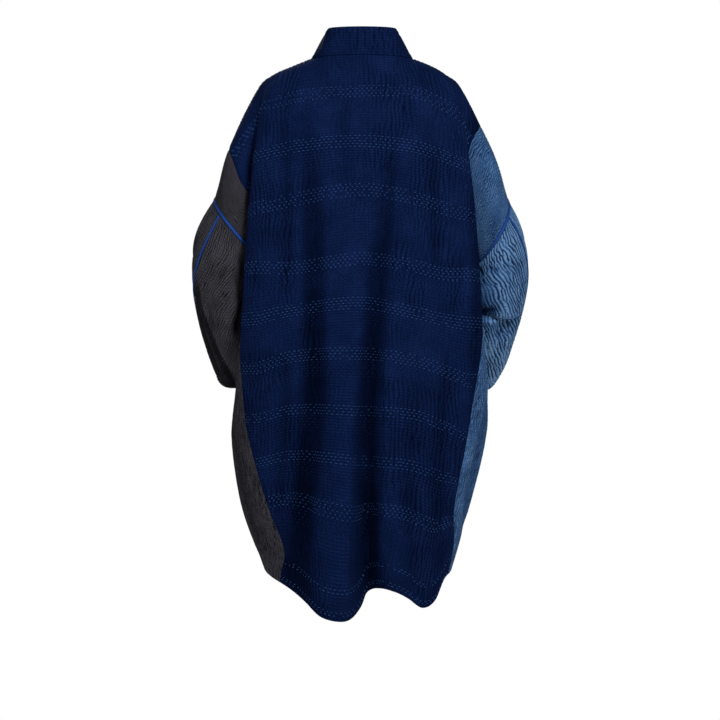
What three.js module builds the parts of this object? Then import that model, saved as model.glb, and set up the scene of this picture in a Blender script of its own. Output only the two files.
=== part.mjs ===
// A long, loose haori coat, worn open and hanging from the shoulders with both arms bent forward.
// Units are millimetres. +Z is up, the front of the coat faces -Y, and the wearer's left is +X.
// The origin is the middle of the neck opening, level with the tops of the shoulders.
//
// The coat is cut in strips, as a haori is: a wide middle strip runs up the back and over the
// shoulders to the two fronts, a narrower strip on each side runs from the front hem over the
// arm to the back hem, and a two-piece sleeve joins each side strip at a dropped armhole.
// Every strip is a thin wall made on one draped surface, which is worked out from the tables below.

import * as THREE from "three";

// ---------------------------------------------------------------- driving sizes
const WALL = 2.2; // two layers of quilted cotton
const SEAM_GAP = 0.3; // between the edges of neighbouring pieces
const COLLAR_WALL = 4; // the band is folded double
const COLLAR_WIDTH_NECK = 50;
const COLLAR_WIDTH_FRONT = 60;
const BINDING_HALF_WIDTH = 3;
const BINDING_WALL = 1.1;
const BINDING_LIFT = 0.6; // between a binding and the cloth beneath it
const BINDING_STOP = 2; // it ends this many steps of the armhole from the underarm point
const BINDING_CLEAR = 0.9; // between the sleeve's binding and the armhole's
const SHOULDER_SEAM = 12; // how far in front of the shoulder line the back meets the fronts
const NECK_EASE = 0.06; // the share of the width over which that seam runs in to the neck
const UNDERARM_DROP = 310; // measured down the cloth from the shoulder line
const HEM_DROP = 930;

// How many steps each kind of piece is divided into.
const STEPS = { armhole: 10, below: 12, neckHalf: 7, panel: 12, side: 5, sleeveLong: 12, collar: 3 };

// The quilting draws the cloth up into fine ridges, which run down the strips and along the sleeves.
// ridges is how many of them a step of the wall holds, and height how far they stand up.
const QUILTING = {
  plain: { ridges: 0, height: 0 },
  neck: { ridges: 2, height: 0.7 },
  strip: { ridges: 1, height: 0.7 },
  blueSleeve: { ridges: 2, height: 1.1 },
};
const RIDGE_AT_SEAM = 0.4; // the share of its height that a ridge beside a seam keeps
const RIDGE_HELD = 0.45; // and the share where a stitched row holds it down, on every other row

// Rows of numbers with named columns, as a list of objects.
const table = (names, rows) =>
  rows.map((row) => Object.fromEntries(names.split(" ").map((name, i) => [name, row[i]])));

// ---------------------------------------------------------------- the draped body
// Rails run down the cloth from the shoulder line to the hem. A rail's place across the cloth is
// 0 at the centre back and 1 at the armhole or side seam. The same places serve the front.
const ACROSS = {
  centre: 0,
  spine: 0.14,
  neck: 0.28,
  blade: 0.42,
  wing: 0.56,
  tuck: 0.66,
  arm: 0.82,
  out: 1,
};

// The back, level by level down the cloth. The wing is the fold of the back that hangs furthest
// out: wingL and wingR are its distances from the centre line on the two sides.
const BACK = table("drop backY backZ wingL wingR wingY wingZ", [
  [0, 58, 4, 153, 145, -4, -28],
  [75, 90, -62, 171, 168, 52, -80],
  [155, 108, -138, 184, 181, 80, -160],
  [235, 118, -215, 192, 191, 89, -238],
  [310, 124, -292, 198, 198, 90, -314],
  [370, 127, -352, 202, 202, 88, -368],
  [450, 130, -432, 206, 206, 82, -440],
  [525, 132, -507, 211, 211, 74, -508],
  [595, 134, -577, 216, 215, 62, -577],
  [675, 133, -662, 223, 212, 42, -655],
  [800, 122, -800, 206, 184, 40, -775],
  [930, 98, -938, 164, 151, 34, -892],
]);

// Behind the arm, at the same levels: the tuck is the crease beside the wing, the arm line runs
// down the back of the upper arm, and the seam is the side seam. tuck, armL, armR, seamL and seamR
// are how far each lies beyond the wing. Above the underarm the armhole takes the seam's place.
const BEHIND_ARM = table("drop tuck tuckY tuckZ armL armR armY armZ seamL seamR seamY seamZ", [
  [0, 25, -6, -49, 69, 69, -8, -138, 0, 0, 0, 0],
  [75, 9, 42, -102, 61, 61, 44, -178, 0, 0, 0, 0],
  [155, 0, 52, -184, 25, 38, 65, -243, 0, 0, 0, 0],
  [235, -5, 53, -262, -6, 9, 55, -302, 0, 0, 0, 0],
  [310, -12, 60, -340, -32, -8, 31, -354, 0, 0, 0, 0],
  [370, -17, 57, -388, -40, -34, 28, -394, -45, -41, 2, -396],
  [450, -17, 52, -442, -38, -38, 26, -443, -50, -52, 0, -444],
  [525, -14, 46, -508, -36, -36, 20, -508, -60, -60, -8, -508],
  [595, -4, 38, -577, -15, -15, 10, -577, -27, -27, -16, -577],
  [675, -1, 22, -654, -6, -6, 2, -653, -14, -14, -20, -652],
  [800, -1, 20, -773, -6, -6, 1, -772, -13, -13, -18, -771],
  [930, 0, 18, -888, -4, -4, 0, -886, -9, -9, -16, -884],
]);

// The front at the same levels. The edge is the line where the collar band joins. The breast fold,
// the tuck beside it and the front of the arm are given as shares of the wing's distance.
const EDGE_AND_BREAST = "drop edgeX edgeY edgeZ breast breastY breastZ";
const FRONT = table(`${EDGE_AND_BREAST} tuck tuckY tuckZ armL armR armY armZ`, [
  [0, 88, -2, 0, 1, -4, -28, 1.165, -6, -49, 1.455, 1.475, -8, -138],
  [75, 91, -62, -58, 0.97, -60, -82, 1.07, -50, -104, 1.36, 1.36, -47, -178],
  [155, 94, -112, -128, 0.9, -98, -152, 0.97, -66, -184, 1.09, 1.12, -66, -240],
  [235, 94, -138, -208, 0.83, -114, -234, 0.9, -66, -262, 0.925, 0.965, -56, -299],
  [310, 93, -150, -288, 0.76, -120, -312, 0.83, -68, -340, 0.81, 0.905, -31, -353],
  [370, 92, -153, -349, 0.71, -122, -366, 0.76, -72, -388, 0.79, 0.81, -36, -394],
  [450, 91, -156, -432, 0.66, -124, -438, 0.7, -80, -442, 0.735, 0.735, -40, -443],
  [525, 90, -157, -504, 0.62, -127, -507, 0.66, -82, -508, 0.69, 0.69, -42, -508],
  [595, 90, -158, -577, 0.63, -130, -577, 0.67, -86, -577, 0.71, 0.71, -48, -577],
  [675, 89, -158, -658, 0.67, -132, -656, 0.76, -92, -654, 0.84, 0.84, -54, -653],
  [800, 87, -150, -790, 0.7, -122, -782, 0.84, -84, -775, 0.91, 0.91, -48, -772],
  [930, 85, -130, -915, 0.76, -102, -900, 0.88, -70, -890, 0.93, 0.93, -42, -886],
]);

// Three more rails start at the neckline. Lower down they lie between the centre and the wing:
// out is their share of the wing's distance, forward and down their shares of the way to it.
const NECK_RAILS = {
  spine: { start: [58, 41, 3], out: 0.3, forward: 0.03, down: 0.08 },
  neck: { start: [88, -2, 0], out: 0.58, forward: 0.13, down: 0.27 },
  blade: { start: [122, -3, -14], out: 0.84, forward: 0.44, down: 0.62 },
};
const FRONT_BLADE = { share: 0.52, swell: 6 }; // on the fronts: between the edge and the breast fold

// Where the middle strip ends and the side strip starts, at each level. The blue side's strip
// is cut a little wider than the charcoal one.
const STRIP_SEAM = table("drop leftBack rightBack leftFront rightFront", [
  [0, 0.87, 0.8, 0.87, 0.8],
  [75, 0.8, 0.725, 0.79, 0.73],
  [155, 0.775, 0.665, 0.72, 0.67],
  [235, 0.632, 0.625, 0.65, 0.63],
  [310, 0.62, 0.61, 0.62, 0.61],
  [450, 0.59, 0.58, 0.6, 0.6],
  [595, 0.505, 0.465, 0.58, 0.58],
  [675, 0.445, 0.43, 0.57, 0.57],
  [800, 0.375, 0.435, 0.56, 0.56],
  [865, 0.35, 0.5, 0.56, 0.56],
  [930, 0.44, 0.545, 0.56, 0.56],
]);

// Hanging folds. Each deepens from its top to the hem, and its path gives the middle by depth below
// the neck. A trough has a positive depth and a swell a negative one.
const FOLDS = "top depth half path";
const BACK_FOLDS = table(FOLDS, [
  [110, 40, 27, [[127, 95], [248, 86], [402, 80], [592, 83], [764, 99], [929, 118]]],
  [150, 46, 22, [[127, -52], [248, -40], [351, -28], [488, -20], [626, -8], [929, -9]]],
  [420, -14, 34, [[420, -62], [929, -55]]],
]);
const FRONT_FOLDS = table(FOLDS, [
  [170, 20, 18, [[170, 122], [560, 116], [929, 110]]],
  [560, -12, 26, [[560, 150], [929, 138]]],
]);
const FOLD_FOOT = 929; // how far below the neck a fold has its whole depth
const FOLD_SPREAD = { top: 0.75, foot: 1.1 }; // a fold's width at its two ends, as shares of half
const FOLD_DEEPENING = 0.8; // the power of the way down by which a fold deepens

// The back hem dips where a fold swings outward and lifts where one turns in: lift, by x.
const HEM_LIFT = [
  [-170, 0], [-151, 4], [-126, -28], [-104, -30], [-80, -6], [-58, 10], [-30, 20], [-9, 14],
  [1, -10], [18, -31], [38, -38], [72, -34], [98, -16], [118, -6], [140, 0], [170, 0],
];
const HEM_SWING_DROP = 640; // above this the hem's dips and lifts aren't felt

// ---------------------------------------------------------------- sleeves
// The rings of each sleeve, from the armhole to the cuff, by how far along the sleeve they are.
// wide and deep are a ring's half sizes. Its tilt is in degrees: lean turns its top inward from
// upright, nod tips it forward and swing turns its back edge outward.
const RINGS = "along x y z wide deep lean nod swing";
const SLEEVE_FOLDS = "depth half path";
const SIDES = {
  left: {
    sign: 1,
    wing: "wingL",
    arm: "armL",
    seam: "seamL",
    rings: table(RINGS, [
      [0, 214, 0, -294, 64.5, 66, 38.8, 0, 8],
      [45, 236, 4, -331, 58, 62, 62, 8, 3],
      [95, 238, 9, -376, 56, 60, 84, 21, 0],
      [150, 232, 1, -425, 56, 56, 93, 33, 0],
      [210, 223, -28, -477, 55, 51, 96, 41, 0],
      [258, 215, -62, -512, 51.5, 48, 98, 44, 0],
      [300, 207, -94, -543, 47, 45, 99, 46, 0],
    ]),
    splice: [[0, 54], [45, 50], [95, 20], [150, -2], [300, -14]],
    folds: table(SLEEVE_FOLDS, [
      [11, 26, [[90, 62], [150, 50], [225, 50], [280, 78]]],
      [8, 24, [[50, 150], [95, 128], [170, 120]]],
    ]),
  },
  right: {
    sign: -1,
    wing: "wingR",
    arm: "armR",
    seam: "seamR",
    rings: table(RINGS, [
      [0, 220.5, 1.2, -300.5, 64, 68, 27, 0, 16],
      [42, 235.5, 6, -334.5, 53, 65.5, 55, 8, 6],
      [92, 230.5, 9, -379, 57.5, 62.5, 80, 21, 0],
      [148, 223, 0, -428, 56, 55, 94, 33, 0],
      [206, 211, -30, -478, 53, 50, 100, 41, 0],
      [254, 201, -65, -513, 51, 50, 103, 44, 0],
      [296, 188, -96, -543, 47, 47, 105, 46, 0],
    ]),
    splice: [[0, 54], [42, 32], [92, 8], [150, -2], [296, -6]],
    folds: table(SLEEVE_FOLDS, [
      [14, 22, [[96, 180], [118, 140], [140, 100], [150, 60]]],
      [7, 20, [[25, 165], [60, 150], [85, 170]]],
    ]),
  },
};
const FOLD_START = 40; // the folds of a sleeve fade in over this length from the armhole
const SPLICE_STEPS = 3; // the splice starts this many steps of the armhole behind its top

// ---------------------------------------------------------------- curves
const mix = (a, b, w) => a + (b - a) * w;
const clamp = THREE.MathUtils.clamp;
const ramp = (from, to, t) => THREE.MathUtils.smoothstep(t, from, to);
const radians = THREE.MathUtils.degToRad;
const column = (rows, name) => rows.map((row) => row[name]);

// The value at t of a smooth curve through values at rising knots. The slopes at its two ends may
// be given, and otherwise each end runs straight on.
function smoothThrough(knots, values, t, startSlope = null, endSlope = null) {
  const last = knots.length - 1;
  let i = 0;
  while (i < last - 1 && t > knots[i + 1]) i++;
  const slopeOver = (a, b) => (values[b] - values[a]) / (knots[b] - knots[a]);
  const slopeAt = (k) => {
    if (k === 0) return startSlope ?? slopeOver(0, 1);
    if (k === last) return endSlope ?? slopeOver(last - 1, last);
    return slopeOver(k - 1, k + 1);
  };
  const length = knots[i + 1] - knots[i];
  const u = (t - knots[i]) / length;
  const rise = u * u * (3 - 2 * u);
  const leave = u * (1 - u) * (1 - u);
  const arrive = u * u * (u - 1);
  return mix(values[i], values[i + 1], rise) + length * (leave * slopeAt(i) + arrive * slopeAt(i + 1));
}

const readTable = (rows, by, name, t) => smoothThrough(column(rows, by), column(rows, name), t);

// The height at t of a curve drawn through pairs, level beyond its ends.
function followPath(path, t) {
  const knots = path.map((pair) => pair[0]);
  return smoothThrough(knots, path.map((pair) => pair[1]), clamp(t, knots[0], knots.at(-1)));
}

// ---------------------------------------------------------------- the sleeves' surface
// A point of a sleeve. Angle 0 is its outer side, 90 the back of the arm, 180 underneath and inside.
function sleevePoint(side, along, angle) {
  const ring = Object.fromEntries(
    RINGS.split(" ").map((name) => [name, readTable(side.rings, "along", name, along)]),
  );
  const lean = radians(ring.lean);
  const nod = radians(ring.nod);
  const swing = radians(ring.swing);
  const inward = new THREE.Vector3(-side.sign * Math.sin(lean), 0, -Math.cos(lean));
  const outward = new THREE.Vector3(side.sign * Math.cos(lean), 0, -Math.sin(lean));
  const back = new THREE.Vector3(0, Math.cos(nod), -Math.sin(nod))
    .multiplyScalar(Math.cos(swing))
    .addScaledVector(outward, Math.sin(swing));
  const press = side.folds.reduce((sum, fold) => {
    const off = (angle - followPath(fold.path, along)) / fold.half;
    const [start, end] = [fold.path[0][0], fold.path.at(-1)[0]];
    const ends = ramp(start - FOLD_START, start, along) * (1 - ramp(end, end + FOLD_START, along));
    return sum + fold.depth * ends * Math.exp(-off * off);
  }, 0) * ramp(0, FOLD_START, along);
  const turn = radians(angle);
  return new THREE.Vector3(side.sign * ring.x, ring.y, ring.z)
    .addScaledVector(inward, -(ring.wide - press) * Math.cos(turn))
    .addScaledVector(back, (ring.deep - press) * Math.sin(turn));
}

const sleeveLength = (side) => side.rings.at(-1).along;

function sleeveNormal(side, along, angle) {
  const [step, turn] = [1, 2];
  const end = sleeveLength(side);
  const down = sleevePoint(side, Math.min(along + step, end), angle);
  down.sub(sleevePoint(side, Math.max(along - step, 0), angle));
  const round = sleevePoint(side, along, angle + turn).sub(sleevePoint(side, along, angle - turn));
  return down.cross(round).multiplyScalar(side.sign).normalize();
}

// The armhole is the sleeve's first ring. Its angle grows with the drop down the cloth.
const holeAngle = (face, drop) => ((face === "back" ? 180 : -180) * drop) / UNDERARM_DROP;

// ---------------------------------------------------------------- the body's rails
const placed = (side, x, y, z) => new THREE.Vector3(side.sign * x, y, z);

function backKnot(side, rail, i) {
  const row = BACK[i];
  const arm = BEHIND_ARM[i];
  const wing = row[side.wing];
  if (rail === "centre") return placed(side, 0, row.backY, row.backZ);
  if (rail === "wing") return placed(side, wing, row.wingY, row.wingZ);
  if (rail === "tuck") return placed(side, wing + arm.tuck, arm.tuckY, arm.tuckZ);
  if (rail === "arm") return placed(side, wing + arm[side.arm], arm.armY, arm.armZ);
  if (rail === "out") {
    return row.drop <= UNDERARM_DROP
      ? sleevePoint(side, 0, holeAngle("back", row.drop))
      : placed(side, wing + arm[side.seam], arm.seamY, arm.seamZ);
  }
  const { start, out, forward, down } = NECK_RAILS[rail];
  if (i === 0) return placed(side, ...start);
  return placed(side, out * wing, mix(row.backY, row.wingY, forward), mix(row.backZ, row.wingZ, down));
}

function frontKnot(side, rail, i) {
  const row = FRONT[i];
  const wing = BACK[i][side.wing];
  if (rail === "neck") return placed(side, row.edgeX, row.edgeY, row.edgeZ);
  if (rail === "wing") return placed(side, wing * row.breast, row.breastY, row.breastZ);
  if (rail === "tuck") return placed(side, wing * row.tuck, row.tuckY, row.tuckZ);
  if (rail === "arm") return placed(side, wing * row[side.arm], row.armY, row.armZ);
  if (rail === "out" && row.drop > UNDERARM_DROP) return backKnot(side, rail, i);
  if (rail === "out") return sleevePoint(side, 0, holeAngle("front", row.drop));
  if (i === 0) return placed(side, ...NECK_RAILS[rail].start);
  const point = frontKnot(side, "neck", i).lerp(frontKnot(side, "wing", i), FRONT_BLADE.share);
  return point.setY(point.y - FRONT_BLADE.swell);
}

const OTHER = { back: "front", front: "back" };
const RAILS = {
  back: Object.keys(ACROSS),
  front: Object.keys(ACROSS).filter((rail) => ACROSS[rail] >= ACROSS.neck),
};
const knotMemo = new Map();
function railKnots(side, face, rail) {
  const key = [side.sign, face, rail].join();
  const knot = face === "back" ? backKnot : frontKnot;
  if (!knotMemo.has(key)) knotMemo.set(key, BACK.map((_, i) => knot(side, rail, i)));
  return knotMemo.get(key);
}

// A rail's point at any drop. At the shoulder line a back rail runs smoothly into its front one.
function railPoint(side, face, rail, drop) {
  if (rail === "out" && drop <= UNDERARM_DROP) return sleevePoint(side, 0, holeAngle(face, drop));
  const first = rail === "out" ? column(BACK, "drop").indexOf(UNDERARM_DROP) : 0;
  const knots = column(BACK, "drop").slice(first);
  const points = railKnots(side, face, rail).slice(first);
  const meets = RAILS.front.includes(rail) && first === 0;
  const beyond = meets ? railKnots(side, OTHER[face], rail)[1] : null;
  const at = (axis) => {
    const startSlope = beyond ? (points[1][axis] - beyond[axis]) / (2 * knots[1]) : null;
    return smoothThrough(knots, column(points, axis), drop, startSlope);
  };
  return new THREE.Vector3(at("x"), at("y"), at("z"));
}

// ---------------------------------------------------------------- the body's surface
const CORNER_DROP = 70; // the corner at the side of the neck is eased out over this drop

// The drape without its folds, on one side and face.
function drape(side, face, across, drop) {
  const rails = RAILS[face].map((rail) => railPoint(side, face, rail, drop));
  const knots = RAILS[face].map((rail) => ACROSS[rail]);
  const last = knots.length - 1;
  const pastSeam = railPoint(side, OTHER[face], "arm", drop);
  const joined = ramp(UNDERARM_DROP, UNDERARM_DROP + CORNER_DROP, drop);
  const corner = 1 - ramp(0, CORNER_DROP, drop);
  const opposite = SIDES[side.sign > 0 ? "right" : "left"];
  const mirrored = face === "back" ? railPoint(opposite, face, "spine", drop) : null;
  const neck = RAILS[face].indexOf("neck");
  const at = (axis) => {
    const values = column(rails, axis);
    const width = knots[last] - knots[last - 1];
    const alone = (values[last] - values[last - 1]) / width;
    const shared = (pastSeam[axis] - values[last - 1]) / (2 * width);
    const end = mix(alone, shared, joined);
    const start = mirrored ? (values[1] - mirrored[axis]) / (2 * ACROSS.spine) : null;
    const whole = smoothThrough(knots, values, across, start, end);
    if (corner === 0 || neck === 0) return whole;
    const part =
      across <= ACROSS.neck
        ? smoothThrough(knots.slice(0, neck + 1), values.slice(0, neck + 1), across, start)
        : smoothThrough(knots.slice(neck), values.slice(neck), across, null, end);
    return mix(whole, part, corner);
  };
  return new THREE.Vector3(at("x"), at("y"), at("z"));
}

// How far a set of hanging folds presses the cloth in at x, that far below the neck.
function foldPress(folds, x, below) {
  return folds.reduce((sum, fold) => {
    const grown = clamp((below - fold.top) / (FOLD_FOOT - fold.top), 0, 1);
    const half = fold.half * mix(FOLD_SPREAD.top, FOLD_SPREAD.foot, grown);
    const off = (x - followPath(fold.path, below)) / half;
    return sum + fold.depth * Math.pow(grown, FOLD_DEEPENING) * Math.exp(-off * off);
  }, 0);
}

// A point of the body. across is below 0 on the wearer's right. A place above the shoulder line, or
// past the side seam, is on the other face.
function bodyPoint(face, across, drop) {
  const size = Math.abs(across);
  const side = across < 0 ? SIDES.right : SIDES.left;
  if (drop < 0) return bodyPoint(OTHER[face], across, -drop);
  if (size > 1) return bodyPoint(OTHER[face], side.sign * (2 - size), drop);
  const point = drape(side, face, size, drop);
  if (face === "back") {
    const free = 1 - ramp(ACROSS.blade, ACROSS.wing, size);
    const swing = ramp(HEM_SWING_DROP, HEM_DROP, drop);
    point.y -= foldPress(BACK_FOLDS, point.x, -point.z) * free;
    point.z += followPath(HEM_LIFT, point.x) * swing * swing * free;
  } else {
    const free = ramp(ACROSS.neck, ACROSS.blade, size) * (1 - ramp(ACROSS.wing, ACROSS.arm, size));
    point.y += foldPress(FRONT_FOLDS, Math.abs(point.x), -point.z) * free;
  }
  return point;
}

function bodyNormal(face, across, drop) {
  const [step, fall] = [0.004, 2];
  const size = Math.abs(across);
  const sign = across < 0 ? -1 : 1;
  const overSeam = drop >= UNDERARM_DROP ? step : 0;
  const top = size >= ACROSS.neck ? drop - fall : Math.max(drop - fall, 0);
  const near = face === "front" ? Math.max(size - step, ACROSS.neck) : size - step;
  const far = Math.min(size + step, 1 + overSeam);
  const outward = bodyPoint(face, sign * far, drop).sub(bodyPoint(face, sign * near, drop));
  const down = bodyPoint(face, across, Math.min(drop + fall, HEM_DROP));
  down.sub(bodyPoint(face, across, top));
  const turn = sign * (face === "back" ? 1 : -1);
  return outward.cross(down).multiplyScalar(turn).normalize();
}

// At the armhole the wall's edge stands midway between the directions in which the body and the
// sleeve leave it. At the underarm point the body leaves it down the side seam.
function holeNormal(side, face, drop) {
  const [turn, away, inboard] = [2, 12, 0.2];
  const angle = holeAngle(face, drop);
  const edge = sleevePoint(side, 0, angle);
  const tangent = sleevePoint(side, 0, angle + turn).sub(sleevePoint(side, 0, angle - turn)).normalize();
  const toBody =
    drop < UNDERARM_DROP
      ? bodyPoint(face, side.sign * mix(1, ACROSS.arm, inboard), drop)
      : bodyPoint(face, side.sign, drop + away);
  const leaving = (point) => {
    const direction = point.sub(edge);
    return direction.addScaledVector(tangent, -direction.dot(tangent)).normalize();
  };
  const between = leaving(sleevePoint(side, away, angle)).sub(leaving(toBody));
  const normal = between.cross(tangent).normalize();
  return normal.multiplyScalar(Math.sign(normal.dot(sleeveNormal(side, 0, angle))));
}

// ---------------------------------------------------------------- walls
// A grid of places on a piece: point(i, j) and normal(i, j) for each column i and row j.
function makeGrid(columns, rows, pointAt, normalAt) {
  const nodes = [];
  for (let j = 0; j <= rows; j++) {
    for (let i = 0; i <= columns; i++) nodes.push({ point: pointAt(i, j), normal: normalAt(i, j) });
  }
  const node = (i, j) => nodes[j * (columns + 1) + i];
  const point = (i, j) => node(i, j).point.clone();
  const normal = (i, j) => node(i, j).normal.clone();
  return { columns, rows, point, normal };
}

const LEVEL_SHARE = 0.5; // how much a rim corner's distance from the centre line counts as lower

// The closed wall on a grid, between two distances from its points. quilting tells the ridges of
// each column. They are raised in the outer face alone, on finer steps along the same facets.
function wall(grid, low, high, quilting = () => QUILTING.plain) {
  const { columns, rows } = grid;
  const places = [];
  for (let i = 0; i < columns; i++) {
    const { ridges, height } = quilting(i);
    const steps = Math.max(2 * ridges, 1);
    for (let k = 0; k < steps; k++) places.push({ i, share: k / steps, height: (k % 2) * height });
  }
  places.push({ i: columns, share: 0, height: 0 });
  const across = places.length;

  const corner = (i, j, reach) => grid.point(i, j).addScaledVector(grid.normal(i, j), reach);
  const positions = [];
  for (let j = 0; j <= rows; j++) {
    const onRow = j === 0 || j === rows ? 0 : mix(RIDGE_HELD, 1, j % 2);
    places.forEach(({ i, share, height }, k) => {
      const bySeam = k === 1 || k === across - 2 ? RIDGE_AT_SEAM : 1;
      const point = corner(i, j, high);
      if (share > 0) {
        point.lerp(corner(i + 1, j, high), share);
        point.addScaledVector(grid.normal(i, j), height * onRow * bySeam);
      }
      positions.push(...point.toArray());
    });
  }
  const inside = across * (rows + 1);
  for (let j = 0; j <= rows; j++) {
    for (let i = 0; i <= columns; i++) positions.push(...corner(i, j, low).toArray());
  }

  const outer = (k, j) => j * across + k;
  const inner = (i, j) => inside + j * (columns + 1) + i;
  const faces = [];
  const quad = (a, b, c, d) => faces.push(a, b, c, a, c, d);
  for (let j = 0; j < rows; j++) {
    for (let k = 0; k < across - 1; k++) {
      quad(outer(k, j), outer(k, j + 1), outer(k + 1, j + 1), outer(k + 1, j));
    }
    for (let i = 0; i < columns; i++) {
      quad(inner(i, j), inner(i + 1, j), inner(i + 1, j + 1), inner(i, j + 1));
    }
  }

  // The rim. Each of its stretches is split from its lower outer corner, or its outermost one if
  // they are level, so that two walls that share a seam have the same rim there.
  const level = (a) => positions[3 * a + 2] - Math.abs(positions[3 * a]) * LEVEL_SHARE;
  const rim = (edge, innerStart, innerEnd) => {
    const [start, stop] = [edge[0], edge.at(-1)];
    const fromStart = level(start) < level(stop);
    for (let k = 0; k < edge.length - 1; k++) {
      faces.push(edge[k], edge[k + 1], fromStart ? innerEnd : innerStart);
    }
    faces.push(fromStart ? start : stop, innerEnd, innerStart);
  };
  const first = places.map(({ share }, k) => (share === 0 ? k : -1)).filter((k) => k >= 0);
  for (let i = 0; i < columns; i++) {
    const count = first[i + 1] - first[i] + 1;
    const along = (j) => Array.from({ length: count }, (_, k) => outer(first[i] + k, j));
    rim(along(0), inner(i, 0), inner(i + 1, 0));
    rim(along(rows).reverse(), inner(i + 1, rows), inner(i, rows));
  }
  for (let j = 0; j < rows; j++) {
    rim([outer(0, j + 1), outer(0, j)], inner(0, j + 1), inner(0, j));
    rim([outer(across - 1, j), outer(across - 1, j + 1)], inner(columns, j), inner(columns, j + 1));
  }
  const geometry = new THREE.BufferGeometry();
  geometry.setAttribute("position", new THREE.Float32BufferAttribute(positions, 3));
  geometry.setIndex(facingOut(positions, faces));
  return geometry;
}

// The same faces, each turned over if the shape they close is inside out.
function facingOut(positions, faces) {
  const corner = (i) => new THREE.Vector3().fromArray(positions, 3 * i);
  let volume = 0;
  for (let i = 0; i < faces.length; i += 3) {
    volume += corner(faces[i]).dot(corner(faces[i + 1]).cross(corner(faces[i + 2])));
  }
  return volume > 0 ? faces : faces.reverse();
}

// A grid with its outermost places drawn in by half the seam gap.
function drawnIn(grid) {
  const { columns, rows } = grid;
  const pointAt = (i, j) => {
    const point = grid.point(i, j);
    const pull = (towardI, towardJ) => {
      const toward = grid.point(towardI, towardJ).sub(grid.point(i, j)).normalize();
      point.addScaledVector(toward, SEAM_GAP / 2);
    };
    if (i === 0) pull(1, j);
    if (i === columns) pull(columns - 1, j);
    if (j === 0) pull(i, 1);
    if (j === rows) pull(i, rows - 1);
    return point;
  };
  return makeGrid(columns, rows, pointAt, grid.normal);
}

// ---------------------------------------------------------------- the strips
// The drops of the rows. The first lies on the shoulder seam, and those of the armhole are even.
const ROW_COUNT = STEPS.armhole + STEPS.below;
function rowDrop(face, j, size) {
  const forward = SHOULDER_SEAM * ramp(ACROSS.neck, ACROSS.neck + NECK_EASE, size);
  if (j === 0) return face === "back" ? -forward : forward;
  if (j <= STEPS.armhole) return (UNDERARM_DROP * j) / STEPS.armhole;
  return mix(UNDERARM_DROP, HEM_DROP, (j - STEPS.armhole) / STEPS.below);
}

function bodyGrid(face, columns, acrossAt) {
  const place = (i, j) => {
    const size = Math.abs(acrossAt(i, Math.max(rowDrop(face, j, 1), 0)));
    const drop = rowDrop(face, j, size);
    return [acrossAt(i, Math.max(drop, 0)), drop];
  };
  const pointAt = (i, j) => bodyPoint(face, ...place(i, j));
  const normalAt = (i, j) => {
    const [across, drop] = place(i, j);
    const side = across < 0 ? SIDES.right : SIDES.left;
    return Math.abs(across) === 1 && drop <= UNDERARM_DROP
      ? holeNormal(side, face, drop)
      : bodyNormal(face, across, drop);
  };
  return makeGrid(columns, ROW_COUNT, pointAt, normalAt);
}

const stripSeam = (name, drop) => readTable(STRIP_SEAM, "drop", name, drop);

// The back: from one strip seam to the other, with a column on each side of the neck.
function backGrid() {
  const { panel, neckHalf } = STEPS;
  return bodyGrid("back", 2 * (panel + neckHalf), (i, drop) => {
    const k = i - panel - neckHalf;
    if (Math.abs(k) <= neckHalf) return (ACROSS.neck * k) / neckHalf;
    const seam = stripSeam(k < 0 ? "rightBack" : "leftBack", drop);
    return Math.sign(k) * mix(ACROSS.neck, seam, (Math.abs(k) - neckHalf) / panel);
  });
}

const frontGrid = (name) =>
  bodyGrid("front", STEPS.panel, (i, drop) =>
    SIDES[name].sign * mix(ACROSS.neck, stripSeam(`${name}Front`, drop), i / STEPS.panel));

const sideGrid = (name, face) =>
  bodyGrid(face, STEPS.side, (i, drop) => {
    const seam = stripSeam(name + (face === "back" ? "Back" : "Front"), drop);
    return SIDES[name].sign * (i === STEPS.side ? 1 : mix(seam, 1, i / STEPS.side));
  });

// ---------------------------------------------------------------- the sleeves
// The angles of a sleeve's columns at the armhole are those of the body's rows there, so that the
// two edges match. Down the sleeve they spread evenly from the splice to the underarm seam.
function sleeveAngles(face, side, along) {
  const turn = 180 / STEPS.armhole;
  const start = (SPLICE_STEPS * 180) / STEPS.armhole;
  const count = face === "back" ? STEPS.armhole - SPLICE_STEPS : STEPS.armhole + SPLICE_STEPS;
  const sense = face === "back" ? 1 : -1;
  const shoulder = holeAngle("front", SHOULDER_SEAM);
  const splice = followPath(side.splice, along);
  return Array.from({ length: count + 1 }, (_, i) => {
    const atTop = face === "front" && i === SPLICE_STEPS;
    const hole = atTop ? shoulder : start + sense * turn * i;
    return mix(splice, sense * 180, (hole - start) / (sense * 180 - start));
  });
}

function sleeveGrid(name, face) {
  const side = SIDES[name];
  const angles = (j) => sleeveAngles(face, side, alongAt(j));
  const alongAt = (j) => (sleeveLength(side) * j) / STEPS.sleeveLong;
  const normalAt = (i, j) => {
    const angle = angles(j)[i];
    if (j > 0) return sleeveNormal(side, alongAt(j), angle);
    const holeFace = angle >= 0 ? "back" : "front";
    const drop = (Math.abs(angle) / 180) * UNDERARM_DROP;
    return holeNormal(side, holeFace, drop);
  };
  const pointAt = (i, j) => sleevePoint(side, alongAt(j), angles(j)[i]);
  return makeGrid(angles(0).length - 1, STEPS.sleeveLong, pointAt, normalAt);
}

// ---------------------------------------------------------------- the collar band
// The band's seam runs up the right front's edge, round the back of the neck and down the left
// front's edge. The band stands up behind the neck and lies flat down the fronts.
const COLLAR_LEANS = { nape: [0, -0.12, 1], shoulder: [0.62, 0, 0.78], chest: [1, -0.1, 0] };
const COLLAR_FLAT_DROP = 170; // from here down the band lies on the chest

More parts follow.
